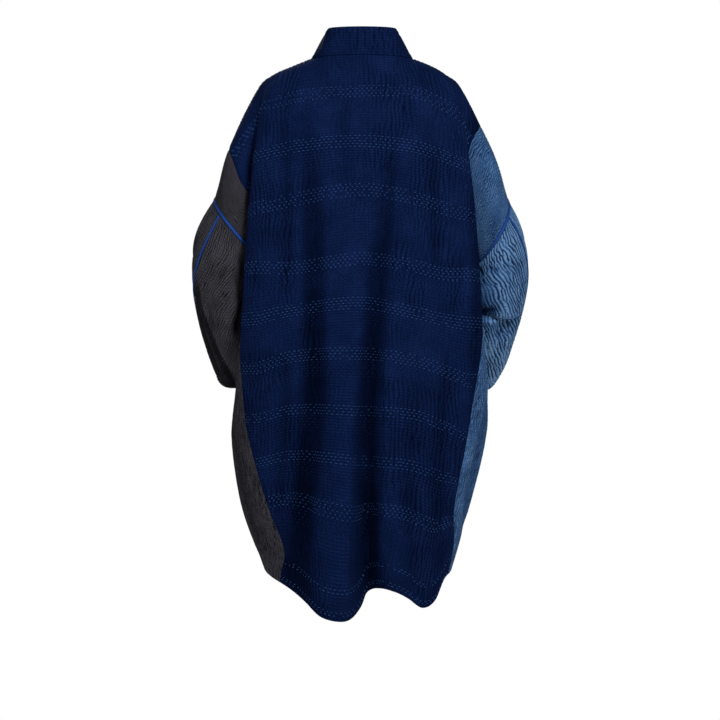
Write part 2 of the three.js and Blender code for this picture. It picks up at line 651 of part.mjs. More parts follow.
function collarSeam() {
  const places = [];
  for (let k = -STEPS.neckHalf; k <= STEPS.neckHalf; k++) {
    const across = (ACROSS.neck * k) / STEPS.neckHalf;
    places.push({ face: "back", sign: Math.sign(k), across, drop: 0 });
  }
  for (let j = 1; j <= ROW_COUNT; j++) {
    const drop = rowDrop("front", j, 0);
    places.unshift({ face: "front", sign: -1, across: -ACROSS.neck, drop });
    places.push({ face: "front", sign: 1, across: ACROSS.neck, drop });
  }
  return places;
}

function collarGrid() {
  const places = collarSeam();
  const seam = places.map(({ face, across, drop }) => bodyPoint(face, across, drop));
  const panelNormal = places.map(({ face, across, drop }) => bodyNormal(face, across, drop));
  const across = places.map((place, k) => {
    const next = seam[Math.min(k + 1, seam.length - 1)];
    const along = next.clone().sub(seam[Math.max(k - 1, 0)]).normalize();
    const flat = ramp(0, COLLAR_FLAT_DROP, place.drop);
    const round = Math.abs(place.across) / ACROSS.neck;
    const toward = (name) => {
      const [inward, y, z] = COLLAR_LEANS[name];
      return new THREE.Vector3(-place.sign * inward, y, z);
    };
    const lean = toward("nape").lerp(toward("shoulder"), round * round).lerp(toward("chest"), flat);
    lean.addScaledVector(along, -lean.dot(along)).normalize();
    const away = along.clone().cross(panelNormal[k]);
    away.multiplyScalar(Math.sign(away.dot(lean))).normalize();
    const width = mix(COLLAR_WIDTH_NECK, COLLAR_WIDTH_FRONT, flat);
    return { lean, away, width, normal: along.cross(lean).normalize() };
  });
  const facing = Math.sign(across[STEPS.below].normal.dot(panelNormal[STEPS.below]));
  const pointAt = (i, j) =>
    seam[j]
      .clone()
      .addScaledVector(across[j].away, SEAM_GAP / 2)
      .addScaledVector(across[j].lean, (across[j].width * i) / STEPS.collar);
  const normalAt = (i, j) =>
    i === 0 ? panelNormal[j] : across[j].normal.clone().multiplyScalar(facing);
  return makeGrid(STEPS.collar, places.length - 1, pointAt, normalAt);
}

// ---------------------------------------------------------------- the bias bindings
// A binding lies along a seam. Each of its places is on the seam, or on the piece on one side,
// part of the way to that piece's next column, so it follows both pieces' own facets.
function bindingGrid(seamPlaces) {
  const rows = seamPlaces.length - 1;
  const place = (i, j) => {
    const { from, sides } = seamPlaces[j];
    if (i === 1) return { point: from.point, normal: from.normal };
    const next = sides[i === 0 ? 0 : 1];
    const share = BINDING_HALF_WIDTH / from.point.distanceTo(next.point);
    return {
      point: from.point.clone().lerp(next.point, share),
      normal: from.normal.clone().lerp(next.normal, share).normalize(),
    };
  };
  const pointAt = (i, j) => place(i, j).point.clone();
  const normalAt = (i, j) => place(i, j).normal.clone();
  return makeGrid(2, rows, pointAt, normalAt);
}

const nodeOf = (grid, i, j) => ({ point: grid.point(i, j), normal: grid.normal(i, j) });

const grids = { back: backGrid(), collar: collarGrid() };
for (const name of Object.keys(SIDES)) {
  grids[`front_${name}`] = frontGrid(name);
  for (const face of ["back", "front"]) {
    grids[`side_${name}_${face}`] = sideGrid(name, face);
    grids[`sleeve_${name}_${face}`] = sleeveGrid(name, face);
  }
}

// Round the armhole, from just short of the underarm behind the arm to the same in front.
function armholeBinding(name) {
  const places = [];
  const last = STEPS.armhole - BINDING_STOP;
  for (let k = last; k >= -last; k--) {
    const body = grids[`side_${name}_${k > 0 ? "back" : "front"}`];
    const onBack = k >= SPLICE_STEPS;
    const sleeve = grids[`sleeve_${name}_${onBack ? "back" : "front"}`];
    const i = onBack ? k - SPLICE_STEPS : SPLICE_STEPS - k;
    const j = Math.abs(k);
    const sides = [nodeOf(body, STEPS.side - 1, j), nodeOf(sleeve, i, 1)];
    places.push({ from: nodeOf(body, STEPS.side, j), sides });
  }
  return bindingGrid(places);
}

// Down the splice of the sleeve, from just below the armhole's binding to the cuff.
function spliceBinding(name) {
  const back = grids[`sleeve_${name}_back`];
  const front = grids[`sleeve_${name}_front`];
  const clear = BINDING_HALF_WIDTH + BINDING_CLEAR;
  const ends = (grid, i) => {
    const [top, next] = [nodeOf(grid, i, 0), nodeOf(grid, i, 1)];
    const share = clear / top.point.distanceTo(next.point);
    const normal = top.normal.lerp(next.normal, share).normalize();
    return { point: top.point.lerp(next.point, share), normal };
  };
  const places = [];
  for (let j = 0; j <= STEPS.sleeveLong; j++) {
    const at = (grid, i) => (j === 0 ? ends(grid, i) : nodeOf(grid, i, j));
    places.push({ from: at(back, 0), sides: [at(back, 1), at(front, 1)] });
  }
  return bindingGrid(places);
}

// ---------------------------------------------------------------- the coat
const CLOTH = {
  navy: { color: "#0d1939", roughness: 0.9 },
  charcoal: { color: "#2e2e35", roughness: 0.92 },
  denim: { color: "#2f5079", roughness: 0.9 },
  royal: { color: "#1f3f85", roughness: 0.8 },
};
const SIDE_CLOTH = { left: "charcoal", right: "denim" };

const coat = new THREE.Group();
function addPiece(name, cloth, geometry) {
  const material = new THREE.MeshStandardMaterial({ ...CLOTH[cloth], metalness: 0 });
  const piece = new THREE.Mesh(geometry, material);
  piece.name = name;
  coat.add(piece);
}

// A piece of cloth: the wall on its own grid, with the ridges that its quilting gives each column.
function addCloth(name, cloth, quilting) {
  addPiece(name, cloth, wall(drawnIn(grids[name]), -WALL / 2, WALL / 2, quilting));
}

const behindNeck = (i) => i >= STEPS.panel && i < STEPS.panel + 2 * STEPS.neckHalf;
addCloth("back", "navy", (i) => (behindNeck(i) ? QUILTING.neck : QUILTING.strip));
for (const name of Object.keys(SIDES)) {
  addCloth(`front_${name}`, "navy", () => QUILTING.strip);
  const onSleeve = name === "right" ? QUILTING.blueSleeve : QUILTING.plain;
  for (const face of ["back", "front"]) {
    addCloth(`side_${name}_${face}`, SIDE_CLOTH[name]);
    addCloth(`sleeve_${name}_${face}`, SIDE_CLOTH[name], () => onSleeve);
  }
  const rise = WALL / 2 + BINDING_LIFT;
  addPiece(`armhole_binding_${name}`, "royal", wall(armholeBinding(name), rise, rise + BINDING_WALL));
  addPiece(`sleeve_binding_${name}`, "royal", wall(spliceBinding(name), rise, rise + BINDING_WALL));
}
addPiece("collar", "navy", wall(grids.collar, -COLLAR_WALL / 2, COLLAR_WALL / 2));

export default coat;
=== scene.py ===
# A long, loose haori coat, hanging as it does when it is worn, open at the front and with both arms
# bent forward. It is sewn from strips of quilted cotton: navy in the middle, charcoal on the wearer's
# left and denim blue on the right, with royal blue tape over the armhole and sleeve seams.
# +Z is up, the front faces -Y and the wearer's left is +X. Lengths are in millimetres and angles in
# degrees, unless a comment says otherwise.
import math

import bpy
import numpy as np
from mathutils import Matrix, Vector


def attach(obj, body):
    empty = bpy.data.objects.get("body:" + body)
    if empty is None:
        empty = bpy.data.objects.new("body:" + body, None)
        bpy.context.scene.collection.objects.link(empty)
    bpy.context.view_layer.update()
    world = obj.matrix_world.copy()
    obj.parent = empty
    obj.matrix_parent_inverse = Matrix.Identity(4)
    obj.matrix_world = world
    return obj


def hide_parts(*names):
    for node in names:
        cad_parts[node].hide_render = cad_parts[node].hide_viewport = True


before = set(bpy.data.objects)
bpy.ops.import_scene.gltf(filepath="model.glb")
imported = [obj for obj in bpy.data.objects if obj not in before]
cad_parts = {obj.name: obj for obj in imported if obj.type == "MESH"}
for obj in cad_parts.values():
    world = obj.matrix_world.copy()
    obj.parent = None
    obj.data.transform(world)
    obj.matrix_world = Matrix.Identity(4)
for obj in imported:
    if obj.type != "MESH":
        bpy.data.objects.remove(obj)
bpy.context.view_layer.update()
MM = 0.001


# ------------------------------------------------------------------------------- the studio
# A white paper floor, far below the hem as if the coat were on someone standing, and three lamps:
# a small, strong key high behind the coat, a wide, weak fill on its charcoal side, and a wide one
# in front.
FLOOR_MM = -1450
FLOOR_REACH_MM = 4200
VIEW_SPAN_MM = 1238.4  # what the picture spans, across and up, at the back of the coat
VIEW_CENTRE_MM = (3.4, -522.9)  # across, up
BACK_DEPTH_MM = 95  # how far the back stands behind the neck
CAMERA_DISTANCE_MM = 10000
SENSOR_MM = 36.0
scene = bpy.context.scene


def linear(code):
    """The linear colour of an sRGB hex code, such as 0d1939."""
    channels = [int(code[i : i + 2], 16) / 255 for i in (0, 2, 4)]
    return [c / 12.92 if c <= 0.04045 else ((c + 0.055) / 1.055) ** 2.4 for c in channels] + [1.0]


def add(tree, kind, links=(), **settings):
    """A new node with its settings. links gives each socket a value, or another node's output."""
    node = tree.nodes.new(kind)
    for name, value in settings.items():
        setattr(node, name, value)
    for socket, value in dict(links).items():
        if isinstance(value, bpy.types.NodeSocket):
            tree.links.new(value, node.inputs[socket])
        else:
            node.inputs[socket].default_value = value
    return node


def maths(tree, operation, *values, clamp=False):
    """The result of one step of arithmetic on values or other nodes' outputs."""
    links = dict(enumerate(values))
    return add(tree, "ShaderNodeMath", links, operation=operation, use_clamp=clamp).outputs[0]


def white_paper():
    """Matt white background paper."""
    material = bpy.data.materials.new("white_background_paper")
    material.use_nodes = True
    shader = material.node_tree.nodes["Principled BSDF"]
    shader.inputs["Base Color"].default_value = linear("f7f7f7")
    shader.inputs["Roughness"].default_value = 0.9
    return material


def mesh_object(name, vertices, faces, material=None, smooth=True):
    """An object in the scene, made from its vertices in metres and its faces."""
    mesh = bpy.data.meshes.new(name)
    mesh.from_pydata([tuple(v) for v in vertices], [], faces)
    mesh.validate()
    if smooth:
        mesh.shade_smooth()
    if material:
        mesh.materials.append(material)
    piece = bpy.data.objects.new(name, mesh)
    scene.collection.objects.link(piece)
    return piece


reach, floor_height = FLOOR_REACH_MM * MM, FLOOR_MM * MM
corners = [(x * reach, y * reach, floor_height) for x, y in ((-1, -1), (1, -1), (1, 1), (-1, 1))]
mesh_object("floor", corners, [(0, 1, 2, 3)], white_paper(), smooth=False)

world = bpy.data.worlds.new("white_studio")
scene.world = world
world.use_nodes = True
AMBIENT = 0.1  # how much of the white surroundings falls on the coat
sky = world.node_tree
sky.nodes.clear()
seen = add(sky, "ShaderNodeBackground", {"Color": (1, 1, 1, 1), "Strength": 1.0})
cast = add(sky, "ShaderNodeBackground", {"Color": linear("f4f7ff"), "Strength": AMBIENT})
ray = add(sky, "ShaderNodeLightPath")
both = add(sky, "ShaderNodeMixShader", {
    0: ray.outputs["Is Camera Ray"], 1: cast.outputs[0], 2: seen.outputs[0],
})
add(sky, "ShaderNodeOutputWorld", {"Surface": both.outputs[0]})

LAMPS = (  # name, place, watts, size: all in metres and aimed at the middle of the coat
    ("key", (-0.9, 2.7, 2.0), 150, 0.7),
    ("fill", (2.6, 2.4, 0.6), 18, 1.6),
    ("front", (0.6, -3.6, 1.4), 150, 1.6),
)
aim = Vector((0, 0, VIEW_CENTRE_MM[1] * MM))
for name, place, watts, size in LAMPS:
    lamp = bpy.data.lights.new(name, "AREA")
    lamp.energy, lamp.size = watts, size
    holder = bpy.data.objects.new(name, lamp)
    holder.location = place
    holder.rotation_euler = (Vector(place) - aim).to_track_quat("Z", "Y").to_euler()
    scene.collection.objects.link(holder)

camera = bpy.data.objects.new("camera", bpy.data.cameras.new("camera"))
camera.data.sensor_width = SENSOR_MM
camera.data.lens = SENSOR_MM * (CAMERA_DISTANCE_MM - BACK_DEPTH_MM) / VIEW_SPAN_MM
camera.data.clip_end = 100
camera.location = (VIEW_CENTRE_MM[0] * MM, CAMERA_DISTANCE_MM * MM, VIEW_CENTRE_MM[1] * MM)
camera.rotation_euler = (math.pi / 2, 0, math.pi)
scene.collection.objects.link(camera)
scene.camera = camera
scene.view_settings.view_transform = "Standard"


# ------------------------------------------------------------------------------- the drape
# The form that the sewn strips take on the wearer: the loose back hangs from the shoulder blades
# in long folds, the side strips cross from the front to the back under the arms, and the sleeves
# bend forward at the elbows. Rails run down the cloth and levels across it, as in the solids.

# A place on the cloth is its place across, 0 at the middle and 1 at the armhole or side seam, and
# its drop, which is how far down the cloth it is from the shoulder line in mm.
ACROSS = {
    "centre": 0, "spine": 0.14, "neck": 0.28, "blade": 0.42,
    "wing": 0.56, "tuck": 0.66, "arm": 0.82, "out": 1,
}
UNDERARM = 310
HEM = 930
CORNER = 70  # how soon the cloth loses the corners that it has at the neck and the underarm
HEM_SWING = 640  # where the hem's waves begin


def table(names, *rows):
    """Rows of numbers as a dictionary of named columns."""
    return dict(zip(names.split(), np.array(rows, float).T))


BACK = table(
    "drop backY backZ wingL wingR wingY wingZ",
    (0, 58, 4, 153, 145, -4, -28),
    (75, 90, -62, 171, 168, 52, -80),
    (155, 108, -138, 184, 181, 80, -160),
    (235, 118, -215, 192, 191, 89, -238),
    (310, 124, -292, 198, 198, 90, -314),
    (370, 127, -352, 202, 202, 88, -368),
    (450, 130, -432, 206, 206, 82, -440),
    (525, 132, -507, 211, 211, 74, -508),
    (595, 134, -577, 216, 215, 62, -577),
    (675, 133, -662, 223, 212, 42, -655),
    (800, 122, -800, 206, 184, 40, -775),
    (930, 98, -938, 164, 151, 34, -892),
)
BEHIND_ARM = table(
    "drop tuck tuckY tuckZ armL armR armY armZ seamL seamR seamY seamZ",
    (0, 25, -6, -49, 69, 69, -8, -138, 0, 0, 0, 0),
    (75, 9, 42, -102, 61, 61, 44, -178, 0, 0, 0, 0),
    (155, 0, 52, -184, 25, 38, 65, -243, 0, 0, 0, 0),
    (235, -5, 53, -262, -6, 9, 55, -302, 0, 0, 0, 0),
    (310, -12, 60, -340, -32, -8, 31, -354, 0, 0, 0, 0),
    (370, -17, 57, -388, -40, -34, 28, -394, -45, -41, 2, -396),
    (450, -17, 52, -442, -38, -38, 26, -443, -50, -52, 0, -444),
    (525, -14, 46, -508, -36, -36, 20, -508, -60, -60, -8, -508),
    (595, -4, 38, -577, -15, -15, 10, -577, -27, -27, -16, -577),
    (675, -1, 22, -654, -6, -6, 2, -653, -14, -14, -20, -652),
    (800, -1, 20, -773, -6, -6, 1, -772, -13, -13, -18, -771),
    (930, 0, 18, -888, -4, -4, 0, -886, -9, -9, -16, -884),
)
FRONT = table(
    "drop edgeX edgeY edgeZ breast breastY breastZ tuck tuckY tuckZ armL armR armY armZ",
    (0, 88, -2, 0, 1, -4, -28, 1.165, -6, -49, 1.455, 1.475, -8, -138),
    (75, 91, -62, -58, 0.97, -60, -82, 1.07, -50, -104, 1.36, 1.36, -47, -178),
    (155, 94, -112, -128, 0.9, -98, -152, 0.97, -66, -184, 1.09, 1.12, -66, -240),
    (235, 94, -138, -208, 0.83, -114, -234, 0.9, -66, -262, 0.925, 0.965, -56, -299),
    (310, 93, -150, -288, 0.76, -120, -312, 0.83, -68, -340, 0.81, 0.905, -31, -353),
    (370, 92, -153, -349, 0.71, -122, -366, 0.76, -72, -388, 0.79, 0.81, -36, -394),
    (450, 91, -156, -432, 0.66, -124, -438, 0.7, -80, -442, 0.735, 0.735, -40, -443),
    (525, 90, -157, -504, 0.62, -127, -507, 0.66, -82, -508, 0.69, 0.69, -42, -508),
    (595, 90, -158, -577, 0.63, -130, -577, 0.67, -86, -577, 0.71, 0.71, -48, -577),
    (675, 89, -158, -658, 0.67, -132, -656, 0.76, -92, -654, 0.84, 0.84, -54, -653),
    (800, 87, -150, -790, 0.7, -122, -782, 0.84, -84, -775, 0.91, 0.91, -48, -772),
    (930, 85, -130, -915, 0.76, -102, -900, 0.88, -70, -890, 0.93, 0.93, -42, -886),
)
LEVELS = BACK["drop"]
SEAM_LEVEL = int(np.flatnonzero(LEVELS == UNDERARM)[0])
NECK_RAILS = {  # where each starts, then its shares of the way from the centre to the wing
    "spine": ((58, 41, 3), 0.3, 0.03, 0.08),
    "neck": ((88, -2, 0), 0.58, 0.13, 0.27),
    "blade": ((122, -3, -14), 0.84, 0.44, 0.62),
}
FRONT_BLADE, FRONT_SWELL = 0.52, 6  # the front's blade rail: its share of the way, and its swell
BACK_FOLDS = (  # top, bottom, depth, half width, path
    (110, 929, 40, 27, ((127, 95), (248, 86), (402, 80), (592, 83), (764, 99), (929, 118))),
    (150, 929, 46, 22, ((127, -52), (248, -40), (351, -28), (488, -20), (626, -8), (929, -9))),
    (420, 929, -14, 34, ((420, -62), (929, -55))),
)
FRONT_FOLDS = (
    (170, 929, 20, 18, ((170, 122), (560, 116), (929, 110))),
    (560, 929, -12, 26, ((560, 150), (929, 138))),
)
HEM_LIFT = (  # x, and how far the back hem rises there
    (-170, 0), (-151, 4), (-126, -28), (-104, -30), (-80, -6), (-58, 10), (-30, 20), (-9, 14),
    (1, -10), (18, -31), (38, -38), (72, -34), (98, -16), (118, -6), (140, 0), (170, 0),
)
RINGS = "along x y z wide deep lean nod swing"
SIDES = {
    "left": {
        "sign": 1,
        "columns": ("wingL", "armL", "seamL"),
        "rings": table(
            RINGS,
            (0, 214, 0, -294, 64.5, 66, 38.8, 0, 8),
            (45, 236, 4, -331, 58, 62, 62, 8, 3),
            (95, 238, 9, -376, 56, 60, 84, 21, 0),
            (150, 232, 1, -425, 56, 56, 93, 33, 0),
            (210, 223, -28, -477, 55, 51, 96, 41, 0),
            (258, 215, -62, -512, 51.5, 48, 98, 44, 0),
            (300, 207, -94, -543, 47, 45, 99, 46, 0),
        ),
        "splice": ((0, 54), (45, 50), (95, 20), (150, -2), (300, -14)),
        "folds": (
            (11, 26, ((90, 62), (150, 50), (225, 50), (280, 78))),
            (8, 24, ((50, 150), (95, 128), (170, 120))),
        ),
    },
    "right": {
        "sign": -1,
        "columns": ("wingR", "armR", "seamR"),
        "rings": table(
            RINGS,
            (0, 220.5, 1.2, -300.5, 64, 68, 27, 0, 16),
            (42, 235.5, 6, -334.5, 53, 65.5, 55, 8, 6),
            (92, 230.5, 9, -379, 57.5, 62.5, 80, 21, 0),
            (148, 223, 0, -428, 56, 55, 94, 33, 0),
            (206, 211, -30, -478, 53, 50, 100, 41, 0),
            (254, 201, -65, -513, 51, 50, 103, 44, 0),
            (296, 188, -96, -543, 47, 47, 105, 46, 0),
        ),
        "splice": ((0, 54), (42, 32), (92, 8), (148, -2), (296, -6)),
        "folds": (
            (14, 22, ((96, 180), (118, 140), (140, 100), (150, 60))),
            (7, 20, ((25, 165), (60, 150), (85, 170))),
        ),
    },
}
FOLD_START = 40  # how far a sleeve's fold takes to grow, along the sleeve
NORMAL_STEP = 2  # how far apart points are taken for a normal, in mm along and degrees round
ACROSS_STEP = 0.004
NEAR_HOLE = 12  # how far from the armhole the ways are taken in which the cloth leaves it
BESIDE_HOLE = 1 + (ACROSS["arm"] - 1) * 0.2  # the same on the body, as a place across
ROUNDEST = (0.75, 1.1)  # a hanging fold's width at its top and at the hem, as a share of its own


def ramp(low, high, t):
    """0 below low and 1 above high, with an even turn between."""
    s = np.clip((np.asarray(t, float) - low) / (high - low), 0, 1)
    return s * s * (3 - 2 * s)


def mix(a, b, w):
    """a where w is 0 and b where it is 1."""
    return a + (b - a) * w


def through(knots, values, t, start=None, end=None):
    """A smooth curve through values at rising knots, at each of the places t. values is one array
    for each knot. The slopes at its ends run straight on unless they are given."""
    knots, t = np.asarray(knots, float), np.asarray(t, float)
    values = np.asarray(values, float)
    values = np.broadcast_to(values, (len(knots), len(t), values.shape[-1]))
    spans = np.diff(knots)
    slopes = np.empty(values.shape)
    slopes[1:-1] = (values[2:] - values[:-2]) / (knots[2:] - knots[:-2])[:, None, None]
    slopes[0] = (values[1] - values[0]) / spans[0] if start is None else start
    slopes[-1] = (values[-1] - values[-2]) / spans[-1] if end is None else end
    i = np.clip(np.searchsorted(knots, t) - 1, 0, len(knots) - 2)
    n = np.arange(len(t))
    length = spans[i][:, None]
    u = ((t - knots[i]) / spans[i])[:, None]
    risen = mix(values[i, n], values[i + 1, n], u * u * (3 - 2 * u))
    return risen + length * u * (1 - u) * ((1 - u) * slopes[i, n] - u * slopes[i + 1, n])


def follow(path, t):
    """The height at each place t of a curve drawn through pairs, level beyond its ends."""
    knots, heights = np.array(path, float).T
    t = np.asarray(t, float)
    found = through(knots, heights[:, None, None], np.clip(t, knots[0], knots[-1]).ravel())
    return found[:, 0].reshape(t.shape)


def sleeve_point(side, along, angle):
    """Points of a sleeve. Angle 0 is its outer side, 90 the back of the arm, 180 underneath."""
    along, angle = np.broadcast_arrays(np.asarray(along, float), np.asarray(angle, float))
    rings = np.stack([side["rings"][name] for name in RINGS.split()], axis=-1)[:, None, :]
    _, x, y, z, wide, deep, *tilt = through(side["rings"]["along"], rings, along).T
    lean, nod, swing = np.radians(tilt)
    none, sign = np.zeros(len(along)), side["sign"]
    inward = np.stack([-sign * np.sin(lean), none, -np.cos(lean)], axis=-1)
    outward = np.stack([sign * np.cos(lean), none, -np.sin(lean)], axis=-1)
    back = np.stack([none, np.cos(nod), -np.sin(nod)], axis=-1)
    back = back * np.cos(swing)[:, None] + outward * np.sin(swing)[:, None]
    press = np.zeros(len(along))
    for depth, half, path in side["folds"]:
        start, stop = path[0][0], path[-1][0]
        ends = ramp(start - FOLD_START, start, along) * (1 - ramp(stop, stop + FOLD_START, along))
        press += depth * ends * np.exp(-(((angle - follow(path, along)) / half) ** 2))
    press *= ramp(0, FOLD_START, along)
    turn = np.radians(angle)
    middle = np.stack([sign * x, y, z], axis=-1)
    sideways, backwards = (wide - press) * np.cos(turn), (deep - press) * np.sin(turn)
    return middle - inward * sideways[:, None] + back * backwards[:, None]


def unit(vectors):
    """The vectors at a length of 1."""
    return vectors / np.maximum(np.linalg.norm(vectors, axis=-1, keepdims=True), 1e-9)


def sleeve_normal(side, along, angle):
    """The sleeve's outward normals."""
    length, step = side["rings"]["along"][-1], NORMAL_STEP / 2
    above, below = np.maximum(along - step, 0), np.minimum(along + step, length)
    down = sleeve_point(side, below, angle) - sleeve_point(side, above, angle)
    after, before = angle + NORMAL_STEP, angle - NORMAL_STEP
    round_it = sleeve_point(side, along, after) - sleeve_point(side, along, before)
    return unit(np.cross(down, round_it) * side["sign"])


def hole_angle(face, drop):
    """The armhole is the sleeve's first ring, and its angle grows with the drop down the cloth."""
    return (180 if face == "back" else -180) * np.asarray(drop, float) / UNDERARM


def stack(side, x, y, z):
    """Points on one side of the coat, from x outwards, y and z."""
    x, y, z = np.broadcast_arrays(x, y, z)
    return np.stack([side["sign"] * x, y, z], axis=-1)


def rail_knots(side, face, rail):
    """A rail's points at all the levels."""
    wing_column, arm_column, seam_column = side["columns"]
    wing = BACK[wing_column]
    hole = sleeve_point(side, np.zeros(len(LEVELS)), hole_angle(face, np.minimum(LEVELS, UNDERARM)))
    seam = stack(side, wing + BEHIND_ARM[seam_column], BEHIND_ARM["seamY"], BEHIND_ARM["seamZ"])
    if rail == "out":
        return np.where((LEVELS <= UNDERARM)[:, None], hole, seam)
    start, out, forward, down = NECK_RAILS.get(rail, ((0, 0, 0), 0, 0, 0))
    if face == "back":
        if rail in NECK_RAILS:
            y, z = mix(BACK["backY"], BACK["wingY"], forward), mix(BACK["backZ"], BACK["wingZ"], down)
            points = stack(side, out * wing, y, z)
            points[0] = stack(side, *start)
            return points
        if rail == "centre":
            return stack(side, 0, BACK["backY"], BACK["backZ"])
        if rail == "wing":
            return stack(side, wing, BACK["wingY"], BACK["wingZ"])
        name = "tuck" if rail == "tuck" else arm_column
        return stack(side, wing + BEHIND_ARM[name], BEHIND_ARM[rail + "Y"], BEHIND_ARM[rail + "Z"])
    if rail == "neck":
        return stack(side, FRONT["edgeX"], FRONT["edgeY"], FRONT["edgeZ"])
    if rail == "wing":
        return stack(side, wing * FRONT["breast"], FRONT["breastY"], FRONT["breastZ"])
    if rail == "blade":
        points = mix(rail_knots(side, face, "neck"), rail_knots(side, face, "wing"), FRONT_BLADE)
        points[:, 1] -= FRONT_SWELL
        points[0] = stack(side, *start)
        return points
    name = "tuck" if rail == "tuck" else arm_column
    return stack(side, wing * FRONT[name], FRONT[rail + "Y"], FRONT[rail + "Z"])


RAILS = {"back": list(ACROSS), "front": [rail for rail in ACROSS if ACROSS[rail] >= ACROSS["neck"]]}
OTHER = {"back": "front", "front": "back"}
KNOTS = {
    (name, face, rail): rail_knots(side, face, rail)
    for name, side in SIDES.items() for face in RAILS for rail in RAILS[face]
}


def rail_point(name, face, rail, drop):
    """A rail's points at any drops. At the shoulder line a back rail runs on into its front one."""
    points = KNOTS[name, face, rail]
    if rail == "out":
        below = through(LEVELS[SEAM_LEVEL:], points[SEAM_LEVEL:, None], np.maximum(drop, UNDERARM))
        angle = hole_angle(face, np.minimum(drop, UNDERARM))
        hole = sleeve_point(SIDES[name], np.zeros(len(drop)), angle)
        return np.where((drop <= UNDERARM)[:, None], hole, below)
    start = None
    if rail in RAILS["front"]:
        start = (points[1] - KNOTS[name, OTHER[face], rail][1]) / (2 * LEVELS[1])
    return through(LEVELS, points[:, None], drop, start)


def drape(name, face, across, drop):
    """The drape on one side and face, without its hanging folds."""
    rails = np.stack([rail_point(name, face, rail, drop) for rail in RAILS[face]])
    knots = np.array([ACROSS[rail] for rail in RAILS[face]])
    past_seam = rail_point(name, OTHER[face], "arm", drop)
    joined = ramp(UNDERARM, UNDERARM + CORNER, drop)[:, None]
    corner = (1 - ramp(0, CORNER, drop))[:, None]
    width = knots[-1] - knots[-2]
    end = mix((rails[-1] - rails[-2]) / width, (past_seam - rails[-2]) / (2 * width), joined)
    if face == "front":
        return through(knots, rails, across, None, end)
    mirrored = rail_point("right" if name == "left" else "left", face, "spine", drop)
    start = (rails[1] - mirrored) / (2 * ACROSS["spine"])
    whole = through(knots, rails, across, start, end)
    neck = RAILS[face].index("neck")
    inner = through(knots[: neck + 1], rails[: neck + 1], np.minimum(across, ACROSS["neck"]), start)
    outer = through(knots[neck:], rails[neck:], np.maximum(across, ACROSS["neck"]), None, end)
    part = np.where((across <= ACROSS["neck"])[:, None], inner, outer)
    return mix(whole, part, corner)


def fold_press(folds, x, below):
    """How far the hanging folds press the cloth in at x, that far below the neck."""
    press = np.zeros(len(x))
    for top, bottom, depth, half, path in folds:
        grown = np.clip((below - top) / (bottom - top), 0, 1)
        off = (x - follow(path, below)) / (half * mix(*ROUNDEST, grown))
        press += depth * grown**0.8 * np.exp(-off * off)
    return press


def body_point(face, across, drop):
    """Points of the body. across is below 0 on the wearer's right. A place above the shoulder line,
    or past the side seam, is on the other face."""
    across, drop = np.broadcast_arrays(np.asarray(across, float), np.asarray(drop, float))
    size = np.abs(across)
    turned = (drop < 0) ^ (size > 1)
    size, fall = np.where(size > 1, 2 - size, size), np.abs(drop)
    points = np.empty((len(size), 3))
    for name, side in SIDES.items():
        for this in RAILS:
            chosen = ((across < 0) == (side["sign"] < 0)) & (turned == (this != face))
            if not chosen.any():
                continue
            s, d = size[chosen], fall[chosen]
            point = drape(name, this, s, d)
            if this == "back":
                free = 1 - ramp(ACROSS["blade"], ACROSS["wing"], s)
                swing = ramp(HEM_SWING, HEM, d)
                point[:, 1] -= fold_press(BACK_FOLDS, point[:, 0], -point[:, 2]) * free
                point[:, 2] += follow(HEM_LIFT, point[:, 0]) * swing * swing * free
            else:
                free = ramp(ACROSS["neck"], ACROSS["blade"], s)
                free = free * (1 - ramp(ACROSS["wing"], ACROSS["arm"], s))
                point[:, 1] += fold_press(FRONT_FOLDS, np.abs(point[:, 0]), -point[:, 2]) * free
            points[chosen] = point
    return points


def body_normal(face, across, drop):
    """The body's outward normals."""
    step, fall = ACROSS_STEP, NORMAL_STEP
    size, sign = np.abs(across), np.where(across < 0, -1, 1)
    top = np.where(size >= ACROSS["neck"], drop - fall, np.maximum(drop - fall, 0))
    near = np.maximum(size - step, ACROSS["neck"]) if face == "front" else size - step
    far = np.minimum(size + step, np.where(drop >= UNDERARM, 1 + step, 1))
    outward = body_point(face, sign * far, drop) - body_point(face, sign * near, drop)
    down = body_point(face, across, np.minimum(drop + fall, HEM)) - body_point(face, across, top)
    turn = sign * (1 if face == "back" else -1)
    return unit(np.cross(outward, down) * turn[:, None])


def away_from(point, seam, along):
    """The way in which a seam is left to get to a point, square to the seam."""
    way = point - seam
    return unit(way - along * (way * along).sum(-1, keepdims=True))


def hole_normal(name, face, drop):
    """At the armhole the cloth's edge stands midway between the ways the body and sleeve leave it."""
    side = SIDES[name]
    angle, start = hole_angle(face, drop), np.zeros(len(drop))
    edge = sleeve_point(side, start, angle)
    after, before = angle + NORMAL_STEP, angle - NORMAL_STEP
    tangent = unit(sleeve_point(side, start, after) - sleeve_point(side, start, before))
    under = drop >= UNDERARM
    inboard = np.where(under, 1, BESIDE_HOLE) * side["sign"]
    body = body_point(face, inboard, drop + np.where(under, NEAR_HOLE, 0))
    sleeve = sleeve_point(side, start + NEAR_HOLE, angle)
    leave = away_from(sleeve, edge, tangent) - away_from(body, edge, tangent)
    normal = unit(np.cross(leave, tangent))
    facing = (normal * sleeve_normal(side, start, angle)).sum(-1, keepdims=True)
    return normal * np.sign(facing)


